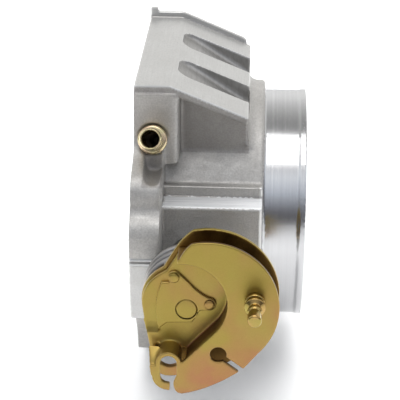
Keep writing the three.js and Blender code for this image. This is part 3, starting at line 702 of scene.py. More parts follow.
# A lighter copy of the plating, painted as a highlight on the drive plate's upper edge.
RIM_HIGHLIGHT_ZINC = fitting_zinc("rim_highlight_zinc", (0.84, 0.68, 0.26), (0.80, 0.56, 0.30), 0.50, 0.60)
GOLD_ZINC = fitting_zinc("gold_zinc", (0.36, 0.285, 0.075), (0.46, 0.29, 0.10), 0.12, 0.20)
GROUND_STEEL = plain_steel("ground_steel", (0.46, 0.46, 0.47), (0.56, 0.56, 0.57), 0.20, 0.32)
DARK_STEEL = plain_steel("dark_steel", (0.27, 0.26, 0.25), (0.38, 0.365, 0.35), 0.28, 0.40)
BRASS = satin_brass()
RUBBER = soft_black("seal_rubber", grey(0.016), 0.62, 0.80, 1200)
NYLON = soft_black("black_nylon", (0.020, 0.019, 0.018), 0.42, 0.55, 900)


def mark_relief(thing, reach_mm=0.6):
    """Stores where a surface stands proud (ridge), lies in a corner (hollow) or faces down (under),
    for the materials to paint highlights and shade there.
    """
    mesh = thing.data
    points = coordinates(mesh)
    count = len(points)
    normals = rows_of(mesh.vertices, "normal")
    a, b = edge_ends(mesh)
    way = points[b] - points[a]
    length = np.maximum(np.linalg.norm(way, axis=1), 1e-9)
    bend_a = np.einsum("ij,ij->i", way, normals[a]) / length
    bend_b = np.einsum("ij,ij->i", -way, normals[b]) / length
    near = np.minimum(1.0, reach_mm * MM / length)
    total = np.bincount(a, bend_a * near, count) + np.bincount(b, bend_b * near, count)
    degree = np.maximum(np.bincount(a, near, count) + np.bincount(b, near, count), 1e-6)
    bend = total / degree
    spread = np.bincount(a, bend[b], count) + np.bincount(b, bend[a], count)
    links = np.maximum(np.bincount(a, minlength=count) + np.bincount(b, minlength=count), 1)
    bend = 0.5 * bend + 0.5 * spread / links
    # ridge marks where a highlight is painted; hollow and under mark where shade is painted.
    store(mesh, "ridge", np.clip((-bend - 0.05) / 0.22, 0, 1))
    store(mesh, "hollow", np.clip((bend - 0.05) / 0.22, 0, 1))
    store(mesh, "under", np.clip((-normals[:, 2] - 0.35) / 0.35, 0, 1))


def piece(thing, name, body, materials, nodes, angle=35):
    """Names, shades and registers a finished shape as one piece of the object."""
    thing.name = name
    thing.data.name = name
    if not isinstance(materials, (list, tuple)):
        materials = [materials]
    for material in materials:
        thing.data.materials.append(material)
    mark_relief(thing)
    shade(thing, angle)
    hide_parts(*nodes)
    if body:
        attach(thing, body)
    return thing


def set_materials(thing, choose):
    """Gives each face the material whose number choose returns for its centre in millimetres."""
    mesh = thing.data
    chosen = choose(rows_of(mesh.polygons, "center") / MM)
    mesh.polygons.foreach_set("material_index", chosen.astype(np.int32))


def steel_piece(thing, name, body, node, angle=35):
    return piece(thing, name, body, GROUND_STEEL, [node], angle)


def plated_piece(thing, name, body, material, node):
    return piece(thing, name, body, material, [node])


# ---------------------------------------------------------------- body casting
BORE, COLLAR, LIP, COLLAR_END = 40.0, 47.5, 47.9, 67.9
BARREL, BARREL_END = 51.2, 50.8
BLOCK_TOP, BLOCK_END, BLOCK_END_TOP, FLAT_END = 66.4, 44.2, 54.1, 14.1
SLOPE = (BLOCK_TOP - BLOCK_END_TOP) / (BLOCK_END - FLAT_END)
PLATE_DEPTH = 3.2
PAD_FACE, PAD_TOP, PAD_STEP, STEP_TOP = 58.7, 21.2, 48.0, 25.6
BLOCK_HALF = 46.9
POCKETS, POCKET_START = (-18.8, 18.3), 15
CASTING_FACES = 170_000
SHAFT_X = 23.5
LEVER_BORE = 4.3
SHAFT_EDGE = 4.8
CLOSE_FIT = 5.05
ON_SHAFT = (SHAFT_X, 0, 0)
NIPPLE_AT = (7.5, -48.0, 44.8)
BOLTS = ((-61, 27), (61, 27), (0, -58.6))
PLATE_SCREWS = (("lever", -15), ("sensor", 15))
STOP_AT = (45.5, -86, 0)
PIN_AT = (13.6, 0, -16.6)
NIPPLE_WAY = (0, -math.cos(math.radians(22)), math.sin(math.radians(22)))


def soft_turned(profile, edge, centre=ON_SHAFT, segments=96):
    """A profile with its corners rounded, turned about a line along Y."""
    return turned("y", rounded_profile(profile, edge), centre, segments)


def placed(thing, at, angle):
    """Turns a shape made at the origin about Y and moves it into its place."""
    thing.data.transform(Matrix.Translation(Vector(at) * MM) @ Matrix.Rotation(angle, 4, "Y"))
    return thing


def flange_outline():
    o = Outline(-46.9, 64.4)
    o.line(-48, 46).curve(-48.6, 40.3, -56, 38.3).line(-63, 36)
    o.curve(-68.2, 34, -68.8, 28.5).line(-68.9, 25.6).curve(-69.4, 22.8, -73, 20.4)
    o.curve(-76.4, 17, -75.6, 10).line(-74.9, 6.4).line(-75.4, 5.9).line(-75.4, 5.5)
    o.line(-74.3, 5.0).line(-74.3, 4.4).line(-75.1, 3.9).line(-75.1, 3.5).line(-74.2, 3)
    o.line(-73.8, -5.3).line(-70.1, -21.5).line(-56, -24)
    o.curve(-48, -32, -39, -43).line(-34, -55).line(-13, -55).curve(-9.5, -67.4, 0, -67.4)
    half = o.points
    return half + [(-u, v) for u, v in reversed(half[:-1])]


def pocket_tool(centre):
    """A slot whose floor falls faster than the slope, so that it deepens towards the block's end."""
    angle = math.atan(SLOPE) + math.asin(5.2 / (BLOCK_END - POCKET_START))
    half, reach, corner = 9.75, 40, 5.5
    o = Outline(reach, centre - half).line(reach, centre + half)
    o.arc(corner, centre + half - corner, corner, 90, 180, 10)
    o.arc(corner, centre - half + corner, corner, 180, 270, 10)
    tool = prism("z", o, 0, 20, 2.2)
    start_height = BLOCK_TOP - SLOPE * (POCKET_START - FLAT_END) - 1.4
    placed(tool, (POCKET_START, 0, start_height), angle)
    return combine(tool, box((0, -BLOCK_HALF, 20), (BLOCK_END, BLOCK_HALF, 90)), "INTERSECT")


def block_solids():
    top, end = BLOCK_TOP, BLOCK_END
    plate_outline = [
        (0, top), (0, top - PLATE_DEPTH), (FLAT_END - 0.7, top - PLATE_DEPTH),
        (end, BLOCK_END_TOP - PLATE_DEPTH), (end, BLOCK_END_TOP), (FLAT_END, top),
    ]
    core_outline = [
        (0, 20), (end, 20), (end, BLOCK_END_TOP - 1), (FLAT_END, top - 1), (0, top - 1),
    ]
    rail_end = 42.4
    rail_top = top - SLOPE * (rail_end - FLAT_END)
    rail = Outline(0, top - PLATE_DEPTH).line(FLAT_END, top - PLATE_DEPTH)
    rail.line(rail_end, rail_top - PLATE_DEPTH).line(rail_end, rail_top + 1.5)
    rail.line(rail_end - 1.2, rail_top + 2.8).line(FLAT_END + 0.4, top + 2.5)
    rail.line(3.4, top + 2.5).line(3.4, top + 4.3).line(0, top + 4.3)
    foot = turned(
        "x",
        [(end - 1, BARREL - 2), (end + 3.6, BARREL - 2), (end + 3.6, BARREL - 0.2),
         (end + 1.6, BARREL + 0.4), (end + 0.5, BARREL + 1.4), (end, BARREL + 2.6),
         (end - 1, BARREL + 2.6)],
        segments=48, sweep=(46.5, 133.5),
    )
    return [
        prism("y", plate_outline, -BLOCK_HALF, BLOCK_HALF, 0.6),
        prism("y", core_outline, -36, 36),
        prism("y", rail, 45.4, 47.9, 0.2),
        foot,
    ]


def pillar(side):
    o = Outline(0, side * 34).line(17.5, side * 34).line(17.5, side * 45)
    o.curve(17.5, side * 48, 14.5, side * 48).line(0, side * 48)
    return prism("z", o, 34.5, BLOCK_TOP - PLATE_DEPTH)


def side_pads(side):
    def slab(half, face, edge):
        outline = [(11.3, -half), (50.4, -half), (50.4, half), (11.3, half)]
        low, high = sorted((side * 30, side * face))
        return prism("y", outline, low, high, edge)

    return [slab(PAD_TOP, PAD_FACE, 1.1), slab(STEP_TOP, PAD_STEP, 0.3)]


def casting_tools():
    edge_groove = Outline(4.9, 46).line(4.9, 36.6).arc(8.4, 36.6, 3.5, 180, 360, 12).line(11.9, 46)
    tools = [
        rod("x", -5, 73, BORE, segments=192),
        turned("x", [(68.9, 0), (68.9, 42.4), (66.5, 40), (66.5, 0)], segments=192),
        rod("y", -80, 80, CLOSE_FIT, ON_SHAFT),
        *(pocket_tool(c) for c in POCKETS),
        *(rod("x", -1, 20.7, 3.4, (0, y, z)) for y, z in BOLTS),
        rod(NIPPLE_WAY, 0, 9, 6.2, NIPPLE_AT, 64),
        turned(
            NIPPLE_WAY, [(-24, 0), (-24, 2), (-12, 2), (-12, 4), (1, 4), (1, 0)], NIPPLE_AT, 48
        ),
        rod("z", -18, -7, 2.7, STOP_AT, 48),
        rod("y", -59.7, -49.7, 1.8, PIN_AT, 32),
        *(rod("y", 48, 59.7, 2.1, (SHAFT_X + s * 4, 0, s * 14.5), 40) for s in (-1, 1)),
        rod("y", 24, 49, 7, (9, 0, 52), 64),
        rod("x", -1, 9, 3.5, (0, 30, 52), 40),
        prism("y", edge_groove, -75, -51),
    ]
    for side in (-1, 1):
        low, high = sorted((side * 42.2, side * 59.7))
        tools.append(rod("y", low, high, 8.8, ON_SHAFT, 96))
        low, high = sorted((side * 55.3, side * 56.9))
        tools.append(ring("y", low, high, 8.0, 9.5, ON_SHAFT, 96))
    return tools


def top_height(x):
    return BLOCK_TOP - SLOPE * np.clip(x - FLAT_END, 0, None)


def machined_mask(p):
    """0 as cast, 1 face-milled, 2 turned, 3 end-milled and 4 the step beside the pads, whose
    brightness is a painted highlight.
    """
    x, y, z = p.T
    radius = np.hypot(y, z)
    side = np.abs(y)
    top = top_height(x)
    in_plate = (z > top - 0.75) & (side < 48.2) & (x < 44.8) & (z > 45)
    in_plate |= (z > 60) & (side < 48.2) & (x < 0.4)
    in_pocket = np.zeros(len(p), bool)
    for centre in POCKETS:
        deep = z > top - 1.9 - np.clip(x - POCKET_START, 0, None) * 0.24
        across = (np.abs(y - centre) < 9.95) & (x > 14.4) & (x < 44.1)
        in_pocket |= across & deep & (z < top - 0.22)
    # The step that gets the painted highlight.
    highlit_ledge = (side > PAD_STEP - 0.2) & (side < PAD_FACE + 0.1) & (x > 11.8) & (x < 50.6)
    highlit_ledge &= (np.abs(z) > PAD_TOP - 0.3) & (np.abs(z) < PAD_TOP + 0.25)
    sawn = (x < 12) & (side > 69) & (z < 6.8) & (z > -24)
    milled = in_plate | sawn | (x < 0.25)
    milled |= (x > 49.2) & (x < 50.7) & (side > 46)
    bright = (x > BARREL_END - 0.1) & (radius > 46.5) & (radius < BARREL + 0.3)
    bright |= (x > 66.2) | (radius < BORE + 0.25)
    return np.select([bright, in_pocket, highlit_ledge, milled], [2, 3, 4, 1], 0)


def edge_weight(p):
    """How far the casting's edges are rounded: little where cut, more where they are as cast."""
    x, y, z = p.T
    side = np.abs(y)
    crisp = (machined_mask(p) > 0) | ((z > top_height(x) - PLATE_DEPTH - 0.3) & (z > 45))
    crisp |= (side > PAD_STEP - 3) & (x > 11.1) & (x < 50.7) & (np.abs(z) < STEP_TOP + 0.4)
    return np.where(crisp, 0.12, 1.0)


def quiet_relief(thing, keep):
    """Leaves the stored ridges and hollows, which carry painted highlights and shade, only where
    keep(x, z) is true.
    """
    mesh = thing.data
    x, _, z = (coordinates(mesh) / MM).T
    kept = keep(x, z)
    for name in ("ridge", "hollow"):
        store(mesh, name, np.where(kept, stored(mesh, name), 0))


def paint_recess_shade(casting):
    """Painted shade on the walls under the overhanging plate, on the plate's sides and in the channel
    at the flange's edge, where shadow falls.
    """
    mesh = casting.data
    x, y, z = (coordinates(mesh) / MM).T
    side = np.abs(y)
    wall = (x > 17.2) & (x < 44.6) & (side > 34.5) & (side < 37.5) & (z > 35.5)
    under = (z < top_height(x) - 0.9) & (z > top_height(x) - PLATE_DEPTH - 0.4) & (side > 45.5)
    channel = (x > 4.6) & (x < 12.2) & (side < 74) & (side > 50.5) & (z > 32.5) & (z < 46.2)
    # These amounts raise the hollow attribute, which paints shade.
    depth = np.select([wall, under & (z > 45), channel & (y < 0)], [0.42, 0.35, 0.45], 0.0)
    store(mesh, "hollow", np.maximum(stored(mesh, "hollow"), depth))


def body_casting():
    collar = turned(
        "x",
        [(0, 0), (0, BARREL), (BARREL_END - 0.8, BARREL), (BARREL_END, BARREL - 0.8),
         (BARREL_END, COLLAR + 0.35), (BARREL_END + 0.35, COLLAR), (65.0, COLLAR),
         (64.5, COLLAR), (65.5, LIP), (67.55, LIP),
         (COLLAR_END, LIP - 0.35), (COLLAR_END, 0)],
        segments=256,
    )
    solids = [
        prism("x", flange_outline(), 0, 11.7, 0.25),
        collar,
        *block_solids(),
        pillar(-1), pillar(1),
        *side_pads(-1), *side_pads(1),
        box((39, -92, -17), (50, -56.7, -8)),
    ]
    casting = cut(join(solids, "casting"), casting_tools())
    refined(casting, either(0.5), either(12), edge_weight)
    unevenness(casting)
    thin = casting.modifiers.new("thin", "DECIMATE")
    thin.ratio = min(1.0, CASTING_FACES / max(1, 2 * len(casting.data.polygons)))
    apply_modifiers(casting)
    piece(
        casting, "throttle_body_casting", "housing",
        [CAST, MILLED, TURNED, END_MILLED, LEDGE_HIGHLIGHT], ["body_casting"], 32,
    )
    paint_recess_shade(casting)
    set_materials(casting, machined_mask)


def unevenness(casting):
    """As-cast faces wander by a few hundredths of a millimetre."""
    mesh = casting.data
    points = coordinates(mesh)
    normals = rows_of(mesh.vertices, "normal")
    raw = np.flatnonzero(machined_mask(points / MM) == 0)
    height = np.array([noise.noise(Vector(p) * 210.0) for p in points[raw]])
    inner = np.array([noise.noise(Vector(p) * 640.0) for p in points[raw]])
    points[raw] -= normals[raw] * ((0.05 + height * 0.07 + inner * 0.03) * MM)[:, None]
    set_coordinates(mesh, points)


# ---------------------------------------------------------------- lever
RIM = (31.5, 5.0, 25.7)
WALL = (22.5, 6.0, 16.0)
WALL_FROM, WALL_TO, WALL_RUN, WALL_THICK = 97, -43, 15.6, 1.8
REAR_BACK, REAR_FRONT = -97.5, -99.5
FLOOR_BACK, FLOOR_FRONT = -99.8, -101.5
FACE_BACK, FACE_FRONT = -109.2, -111.0
DRIVE_BACK, DRIVE_FRONT = -101.8, -102.7
HOOK_X, HOOK_TOP, HOOK_BOTTOM = 17.4, -18.1, -23.2
EYE_X, EYE_Z, EYE_RADIUS, EYE_HOLE_Z, EYE_HOLE = 17.2, -22.8, 7.2, -21.2, 4.4
KEYHOLE = (35.5, -13.85)
RIM_CORNER = (44.7, -19.5)
RIM_TO = -44
STUD = (48.3, 8.4)
RIVETS = ((31.9, 2.2), (19.0, 12.8))


def on_circle(circle, degrees, extra=0.0):
    x, z, radius = circle
    angle = math.radians(degrees)
    return x + (radius + extra) * math.cos(angle), z + (radius + extra) * math.sin(angle)


def wall_end(extra):
    x, z = on_circle(WALL, WALL_TO, extra)
    angle = math.radians(WALL_TO)
    return x + WALL_RUN * math.sin(angle), z - WALL_RUN * math.cos(angle)


def left_edge(o):
    o.line(14.9, 15.2).line(12.2, 13.4).curve(6.4, 8.5, 6.9, 1).line(8.6, -10.8)
    return o.line(10.4, -19.5)


def rear_plate_outline():
    o = Outline(*on_circle(RIM, 103)).curve(21.8, 27.4, 18.5, 21.6)
    left_edge(o).arc(EYE_X, EYE_Z, EYE_RADIUS, 170, 285)
    o.curve(34, -28, *RIM_CORNER)
    return o.arc(*RIM, RIM_TO, 103, 1.5)


def face_outline():
    o = Outline(*on_circle(RIM, 103)).curve(22.4, 27.6, *on_circle(WALL, WALL_FROM))
    o.arc(*WALL, WALL_FROM, WALL_TO, 2).line(*wall_end(0))
    o.line(22.2, -17.5).line(19.6, -19).line(19.2, -26).curve(19.4, -31, 23, -30.5)
    o.curve(33.6, -28.2, *RIM_CORNER)
    return o.arc(*RIM, RIM_TO, 103, 1.5)


def wall_outline():
    x, z, radius = WALL
    o = Outline(*on_circle(WALL, WALL_FROM)).arc(*WALL, WALL_FROM, WALL_TO, 2)
    o.line(*wall_end(0)).line(*wall_end(WALL_THICK))
    return o.arc(x, z, radius + WALL_THICK, WALL_TO, WALL_FROM, 2)


def floor_outline():
    x, z, radius = WALL
    o = Outline(20.6, 22.2).line(16.2, 15.0).line(12.9, 12.9).curve(7, 8.3, 7.1, 1)
    o.line(8.8, -10.8).line(10.4, -19.5).line(12.4, -19.5).line(12.4, -15).line(*wall_end(0.5))
    return o.arc(x, z, radius + 0.5, WALL_TO, WALL_FROM - 3, 2)


def hook_solids():
    arch = Outline(HOOK_X - 4.6, HOOK_TOP - 2.4).line(HOOK_X + 4.6, HOOK_TOP - 2.4)
    arch.arc(HOOK_X, HOOK_TOP, 4.6, 0, 180, 6)
    lip = Outline(10.4, HOOK_TOP - 1).arc(HOOK_X, HOOK_BOTTOM, 6, 180, 275, 5)
    lip.line(HOOK_X + 0.6, HOOK_BOTTOM).line(HOOK_X + 0.6, HOOK_TOP - 1)
    ramp_side = [
        (FLOOR_BACK, -6), (FLOOR_FRONT + 0.2, -4.5), (-101.9, -8), (-103, -11), (-105.2, -14.2),
        (-108.4, -17.2),
        (FACE_FRONT + 0.3, -20), (FACE_FRONT, HOOK_TOP - 5.1), (FACE_BACK, HOOK_TOP - 5.1),
        (FACE_BACK, -20.5),
    ]
    ramp_limit = [
        (14.2, -12), (12.4, -5), (7.6, -5), (8.8, -10.8), (10.4, HOOK_TOP - 1),
        (11, HOOK_TOP - 5.1), (14.2, HOOK_TOP - 5.1),
    ]
    ramp = combine(
        prism("x", ramp_side, 6, 14.2), prism("y", ramp_limit, -115, -95), "INTERSECT"
    )
    return [
        prism("y", arch, FACE_FRONT, FLOOR_BACK),
        prism("y", lip, FACE_FRONT, FACE_BACK),
        ramp,
    ]


def hook_opening():
    o = Outline(HOOK_X - 3, HOOK_TOP).arc(HOOK_X, HOOK_BOTTOM, 3, 180, 285, 6)
    o.line(18.2, -31).line(19.2, -31).line(19.2, -26).line(HOOK_X + 3, HOOK_BOTTOM)
    return prism("y", o.arc(HOOK_X, HOOK_TOP, 3, 0, 180, 6), -115, -95)


def rivet_holes():
    return [rod("y", -120, -95, 1.5, (x, 0, z), 40) for x, z in RIVETS]


def cable_quadrant():
    solids = [
        prism("y", face_outline(), FACE_FRONT, FACE_BACK),
        prism("y", wall_outline(), FACE_FRONT, FLOOR_BACK),
        prism("y", floor_outline(), FLOOR_FRONT, FLOOR_BACK),
        *hook_solids(),
    ]
    slot_angle = math.atan2(-20.1 - KEYHOLE[1], 43.9 - KEYHOLE[0])
    slot = placed(box((0, -115, -1), (16, -105, 1)), (KEYHOLE[0], 0, KEYHOLE[1]), -slot_angle)
    quadrant = cut(
        join(solids, "quadrant"),
        [
            rod("y", -120, -95, LEVER_BORE, ON_SHAFT, 96),
            rod("y", -120, -105, 3, (KEYHOLE[0], 0, KEYHOLE[1]), 72),
            rod("y", -120, -105, 2.8, (STUD[0], 0, STUD[1]), 64),
            slot,
            hook_opening(),
            *rivet_holes(),
        ],
    )

    def weight(p):
        """The drawn cable seat is blended softly into the floor, and other edges stay crisp."""
        x, y, z = p.T
        return np.where((x < 21.5) & (z < -6) & (z > -21.5) & (y > FACE_FRONT + 0.25), 1.0, 0.22)

    refined(quadrant, either(0.27), either(28), weight, keep=0.75)
    piece(
        quadrant, "cable_lever_quadrant", "throttle",
        [ZINC, SHADED_ZINC, DRAWN_ZINC_LIGHT_AND_SHADE], ["cable_quadrant"], 40,
    )
    set_materials(quadrant, quadrant_finish)


def quadrant_finish(p):
    """1 inside the cable's groove, which gets painted shade, 2 on the drawn wall's inner side, which
    gets painted light and shade, and 0 elsewhere.
    """
    x, y, z = p.T
    dx, dz = x - WALL[0], z - WALL[1]
    turn = math.radians(WALL_TO)
    degrees = np.degrees(np.arctan2(dz, dx))
    reach = np.where(
        degrees > WALL_TO, np.hypot(dx, dz), dx * math.cos(turn) + dz * math.sin(turn)
    )
    buried = y > FACE_FRONT + 0.5
    seat = (x < 23) & (z < -16)
    groove = buried & (reach > WALL[2] + 0.9) & ~seat
    groove |= buried & (x > 20.9) & (x < 24) & (z > -22) & (z < -13) & (y < FLOOR_FRONT - 0.5)
    inner = buried & (reach > WALL[2] - 0.8) & (degrees < 60) & (y < FLOOR_FRONT - 0.1) & ~seat
    return np.select([groove, inner], [1, 2], 0)


def rear_plate():
    stop_tab = box((42.5, -98.5, 0), (48.5, -82, 2))
    open_tab = placed(box((18.2, -98.5, -1.8), (21.2, -82, 0)), ON_SHAFT, math.radians(126.5))
    plate = cut(
        join([prism("y", rear_plate_outline(), REAR_FRONT, REAR_BACK), stop_tab, open_tab], "rear"),
        [
            rod("y", -120, -90, LEVER_BORE, ON_SHAFT, 96),
            rod("y", -120, -90, EYE_HOLE, (EYE_X, 0, EYE_HOLE_Z), 72),
        ],
    )
    refined(plate, either(0.3), either(5), keep=0.75)
    piece(
        plate, "cable_lever_rear_plate", "throttle", [ZINC, SHADED_ZINC],
        ["lever_rear_plate"], 40,
    )
    # The rear plate's front face inside the groove gets painted shade.
    set_materials(
        plate, lambda p: (p[:, 1] < REAR_FRONT + 0.2) & (p[:, 0] > 16) & (p[:, 2] > -24)
    )


def drive_plate():
    right, left = RIVETS
    o = Outline(13.4, -8.2).line(16.4, -5.7).line(25.6, -5.3).curve(27, -3.4, 27.6, -1)
    o.line(28.6, -0.3).line(31.9, -0.3).arc(*right, 2.5, -90, 90, 8)
    o.curve(29, 6, 26, 9).curve(23, 12.4, 20.9, 14.2).arc(*left, 2.4, 35, 235, 8)
    o.line(14.4, 10.7).curve(10.8, 1.5, 13.4, -8.2)
    foot = combine(
        prism("y", o, DRIVE_BACK - 0.2, FLOOR_FRONT - 0.04),
        box((0, -110, -2.5), (40, -95, 30)), "INTERSECT",
    )
    plate = cut(
        combine(prism("y", o, DRIVE_FRONT, DRIVE_BACK), foot, "UNION"),
        [rod("y", -120, -95, 4.06, ON_SHAFT, 96), *rivet_holes()],
    )

    def weight(p):
        """The hole fits the shaft closely, so its edge stays sharp."""
        return np.where(np.hypot(p[:, 0] - SHAFT_X, p[:, 2]) < SHAFT_EDGE, 0.05, 1.0)

    refined(plate, either(0.18), either(10), weight, keep=0.6)
    piece(
        plate, "shaft_drive_plate", "throttle", [ZINC, RIM_HIGHLIGHT_ZINC], ["drive_plate"], 40
    )

    def lit_rim(p):
        """1 on the upper and right-hand edge, which gets a painted highlight, 0 elsewhere."""
        x, y, z = p.T
        edge = (y > DRIVE_FRONT + 0.2) & (y < FLOOR_FRONT - 0.1)
        return np.where(edge & (z > -1.5) & (np.hypot(x - SHAFT_X, z) > SHAFT_EDGE), 1, 0)

    set_materials(plate, lit_rim)

    def keep(x, z):
        """The upper and right-hand edges, lit from above, show no painted line; the lower step keeps
        its painted shade.
        """
        near_rivet = (np.hypot(x - right[0], z - right[1]) < 4) & (z < right[1])
        return (z < -3) | near_rivet | (np.hypot(x - SHAFT_X, z) < 5)

    quiet_relief(plate, keep)


def lever_fittings():
    for side, (x, z) in (("right", RIVETS[0]), ("left", RIVETS[1])):
        head = DRIVE_FRONT
        profile = [
            (FLOOR_BACK, 0), (FLOOR_BACK, 1.2), (head - 0.3, 1.2), (head - 0.3, 1.9),
            (head - 0.5, 1.88), (head - 0.75, 1.55), (head - 0.88, 0.9), (head - 0.9, 0),
        ]
        rivet = soft_turned(profile, 0.12, (x, 0, z), 48)
        plated_piece(rivet, "drive_rivet_" + side, "throttle", ZINC, "drive_plate_rivet_" + side)
    face = FACE_FRONT
    end = face - 15.7
    stud = [
        (FACE_BACK + 1.9, 0), (FACE_BACK + 1.9, 3.6), (FACE_BACK + GAP, 4), (FACE_BACK + GAP, 2.5),
        (face - 3, 2.5), (face - 3.4, 2.1), (face - 3.9, 3.8), (face - 5.2, 3.8),
        (face - 5.9, 2.2), (face - 7.2, 2.2), (face - 7.6, 2.7), (face - 9.2, 2.7),
        (face - 9.6, 2.2), (face - 11, 2.2), (face - 11.4, 2.6), (end + 0.6, 2.5),
        (end, 2.1), (end, 0),
    ]
    stud = soft_turned(stud, 0.35, (STUD[0], 0, STUD[1]), 72)
    plated_piece(stud, "cable_end_stud", "throttle", GOLD_ZINC, "cable_stud")
    nut = [
        (face - GAP, 2.8), (face - GAP, 3.7), (face - 1.9, 3.7), (face - 2.3, 3.4), (face - 2.3, 2.8),
    ]
    nut = soft_turned(nut, 0.25, (STUD[0], 0, STUD[1]), 72)
    plated_piece(nut, "cable_stud_collar", "throttle", GOLD_ZINC, "cable_stud_nut")


# ---------------------------------------------------------------- springs
def torsion_spring(name, node, radius, wire, turns, start_degrees, leg):
    """Round wire wound about the shaft, with a leg at each end; it belongs to no body and stays where
    it is built.
    """
    per_turn, around = 40, 14
    steps = round(turns * per_turn)
    first, last = -79.6, -95.0

    def coil(step, out):
        angle = math.radians(start_degrees) + 2 * math.pi * step / per_turn
        tangent = Vector((-math.sin(angle), 0, math.cos(angle))) * out
        along = first + (last - first) * step / steps
        spot = Vector((SHAFT_X + radius * math.cos(angle), along, radius * math.sin(angle)))
        return spot + tangent

    line = [coil(0, -leg * t) for t in (1, 0.75, 0.5, 0.25)]
    line += [coil(step, 0) for step in range(steps + 1)]
    line += [coil(steps, leg * 0.7 * t) for t in (0.3, 0.65, 1)]
    vertices = []
    across = Vector((0, 1, 0))
    for i, point in enumerate(line):
        forward = (line[min(i + 1, len(line) - 1)] - line[max(i - 1, 0)]).normalized()
        across = (across - forward * across.dot(forward)).normalized()
        other = forward.cross(across)
        trim = 0.8 if i in (0, len(line) - 1) else 1.0
        for k in range(around):
            angle = 2 * math.pi * k / around
            offset = (across * math.cos(angle) + other * math.sin(angle)) * wire * trim
            vertices.append(tuple(point + offset))
    spring = new_object(name, vertices, tube_faces(len(line), around))
    piece(spring, name, None, DARK_STEEL, [node], 60)
    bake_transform(spring)


# ---------------------------------------------------------------- shaft, plate and fittings
def tilt(thing, degrees=6.0):
    """Turns a shape made square to the bore into the closed plate's leaning position."""
    thing.data.transform(
        Matrix.Translation(Vector(ON_SHAFT) * MM)
        @ Matrix.Rotation(math.radians(-degrees), 4, "Y")
        @ Matrix.Translation(-Vector(ON_SHAFT) * MM)
    )
    return thing


def throttle_shaft():
    profile = [
        (-102.7, 0), (-102.7, 3.5), (-102.3, 4), (-97.2, 4), (-97.2, 4.4), (-96.9, 4.75),
        (65.5, 4.75), (66, 4.3), (66, 0),
    ]
    shaft = turned("y", profile, ON_SHAFT, 96)
    slot = box((SHAFT_X - 1.5, -39.85, -9), (SHAFT_X + 1.5, 39.85, 9))
    tools = [tilt(slot)]
    for _, y in PLATE_SCREWS:
        tools.append(tilt(rod("x", SHAFT_X - 8, SHAFT_X + 8, 2.3, (0, y, 0), 48)))
        tools.append(tilt(rod("x", SHAFT_X + 3.3, SHAFT_X + 8, 3.9, (0, y, 0), 48)))
    tools.append(box((SHAFT_X - 9, 59.5, 2.4), (SHAFT_X + 9, 67, 9)))
    tools.append(box((SHAFT_X - 9, 59.5, -9), (SHAFT_X + 9, 67, -2.4)))
    cut(shaft, tools)
    softened(shaft, 0.12)
    piece(
        shaft, "butterfly_shaft", "throttle", [GROUND_STEEL, ZINC],
        ["throttle_shaft"],
    )
    set_materials(shaft, lambda p: p[:, 1] < -97.3)


def softened(thing, width, segments=2, angle=28):
    """Breaks the sharp edges of a plain solid by width."""
    edge = thing.modifiers.new("edge", "BEVEL")
    edge.width = width * MM
    edge.segments = segments
    edge.limit_method = "ANGLE"
    edge.angle_limit = math.radians(angle)
    edge.use_clamp_overlap = True
    return apply_modifiers(thing)


def throttle_plate():
    half = 1.2
    profile = [
        (-half, 0), (-half, 39.1), (-half + 0.12, 39.45), (-half + 0.5, 39.8), (half - 0.5, 39.8),
        (half - 0.12, 39.45), (half, 39.1), (half, 0),
    ]
    plate = turned("x", profile, ON_SHAFT, 192)
    plate.data.transform(Matrix.Diagonal((1, 39.55 / 39.8, 1, 1)))
    cut(plate, [rod("x", SHAFT_X - 8, SHAFT_X + 8, 2.3, (0, y, 0), 48) for _, y in PLATE_SCREWS])
    tilt(plate)
    piece(plate, "butterfly_plate", "throttle", BRASS, ["throttle_plate"])
    for side, y in PLATE_SCREWS:
        screw = threaded("x", SHAFT_X - 5.4, SHAFT_X + 3.6, 2.0, 0.16, 0.7, (0, y, 0))
        head = turned(
            "x",
            [(SHAFT_X + 3.4, 0), (SHAFT_X + 3.4, 3.3), (SHAFT_X + 3.7, 3.5), (SHAFT_X + 4.7, 3.4),
             (SHAFT_X + 5.3, 2.8), (SHAFT_X + 5.6, 1.6), (SHAFT_X + 5.6, 0)],
            (0, y, 0), 48,
        )
        slot = box((SHAFT_X + 4.6, y - 3.6, -0.45), (SHAFT_X + 7, y + 3.6, 0.45))
        screw = join([screw, cut(head, [slot])], "screw")
        tilt(screw)
        steel_piece(screw, "butterfly_screw_" + side, "throttle", "plate_screw_" + side + "_side")


def threaded(axis, low, high, radius, depth, pitch, centre=(0, 0, 0), around=36):
    """A screw shank whose ridge winds round it, tapering off at both ends."""
    per_pitch = 8
    rows = max(4, round((high - low) / pitch * per_pitch))
    direction, side, up = square_to(axis)
    vertices = []
    for i in range(rows + 1):
        along = low + (high - low) * i / rows
        fade = min(1.0, i / per_pitch, (rows - i) / per_pitch)
        for k in range(around):
            phase = (along / pitch - k / around) % 1.0
            ridge = 1 - abs(2 * phase - 1)
            r = radius - depth * (1 - ridge * fade) - (0.25 * (1 - fade) if fade < 1 else 0)
            angle = 2 * math.pi * k / around
            spot = Vector(centre) + direction * along
            vertices.append(tuple(spot + (side * math.cos(angle) + up * math.sin(angle)) * r))
    return new_object("thread", vertices, tube_faces(rows + 1, around))


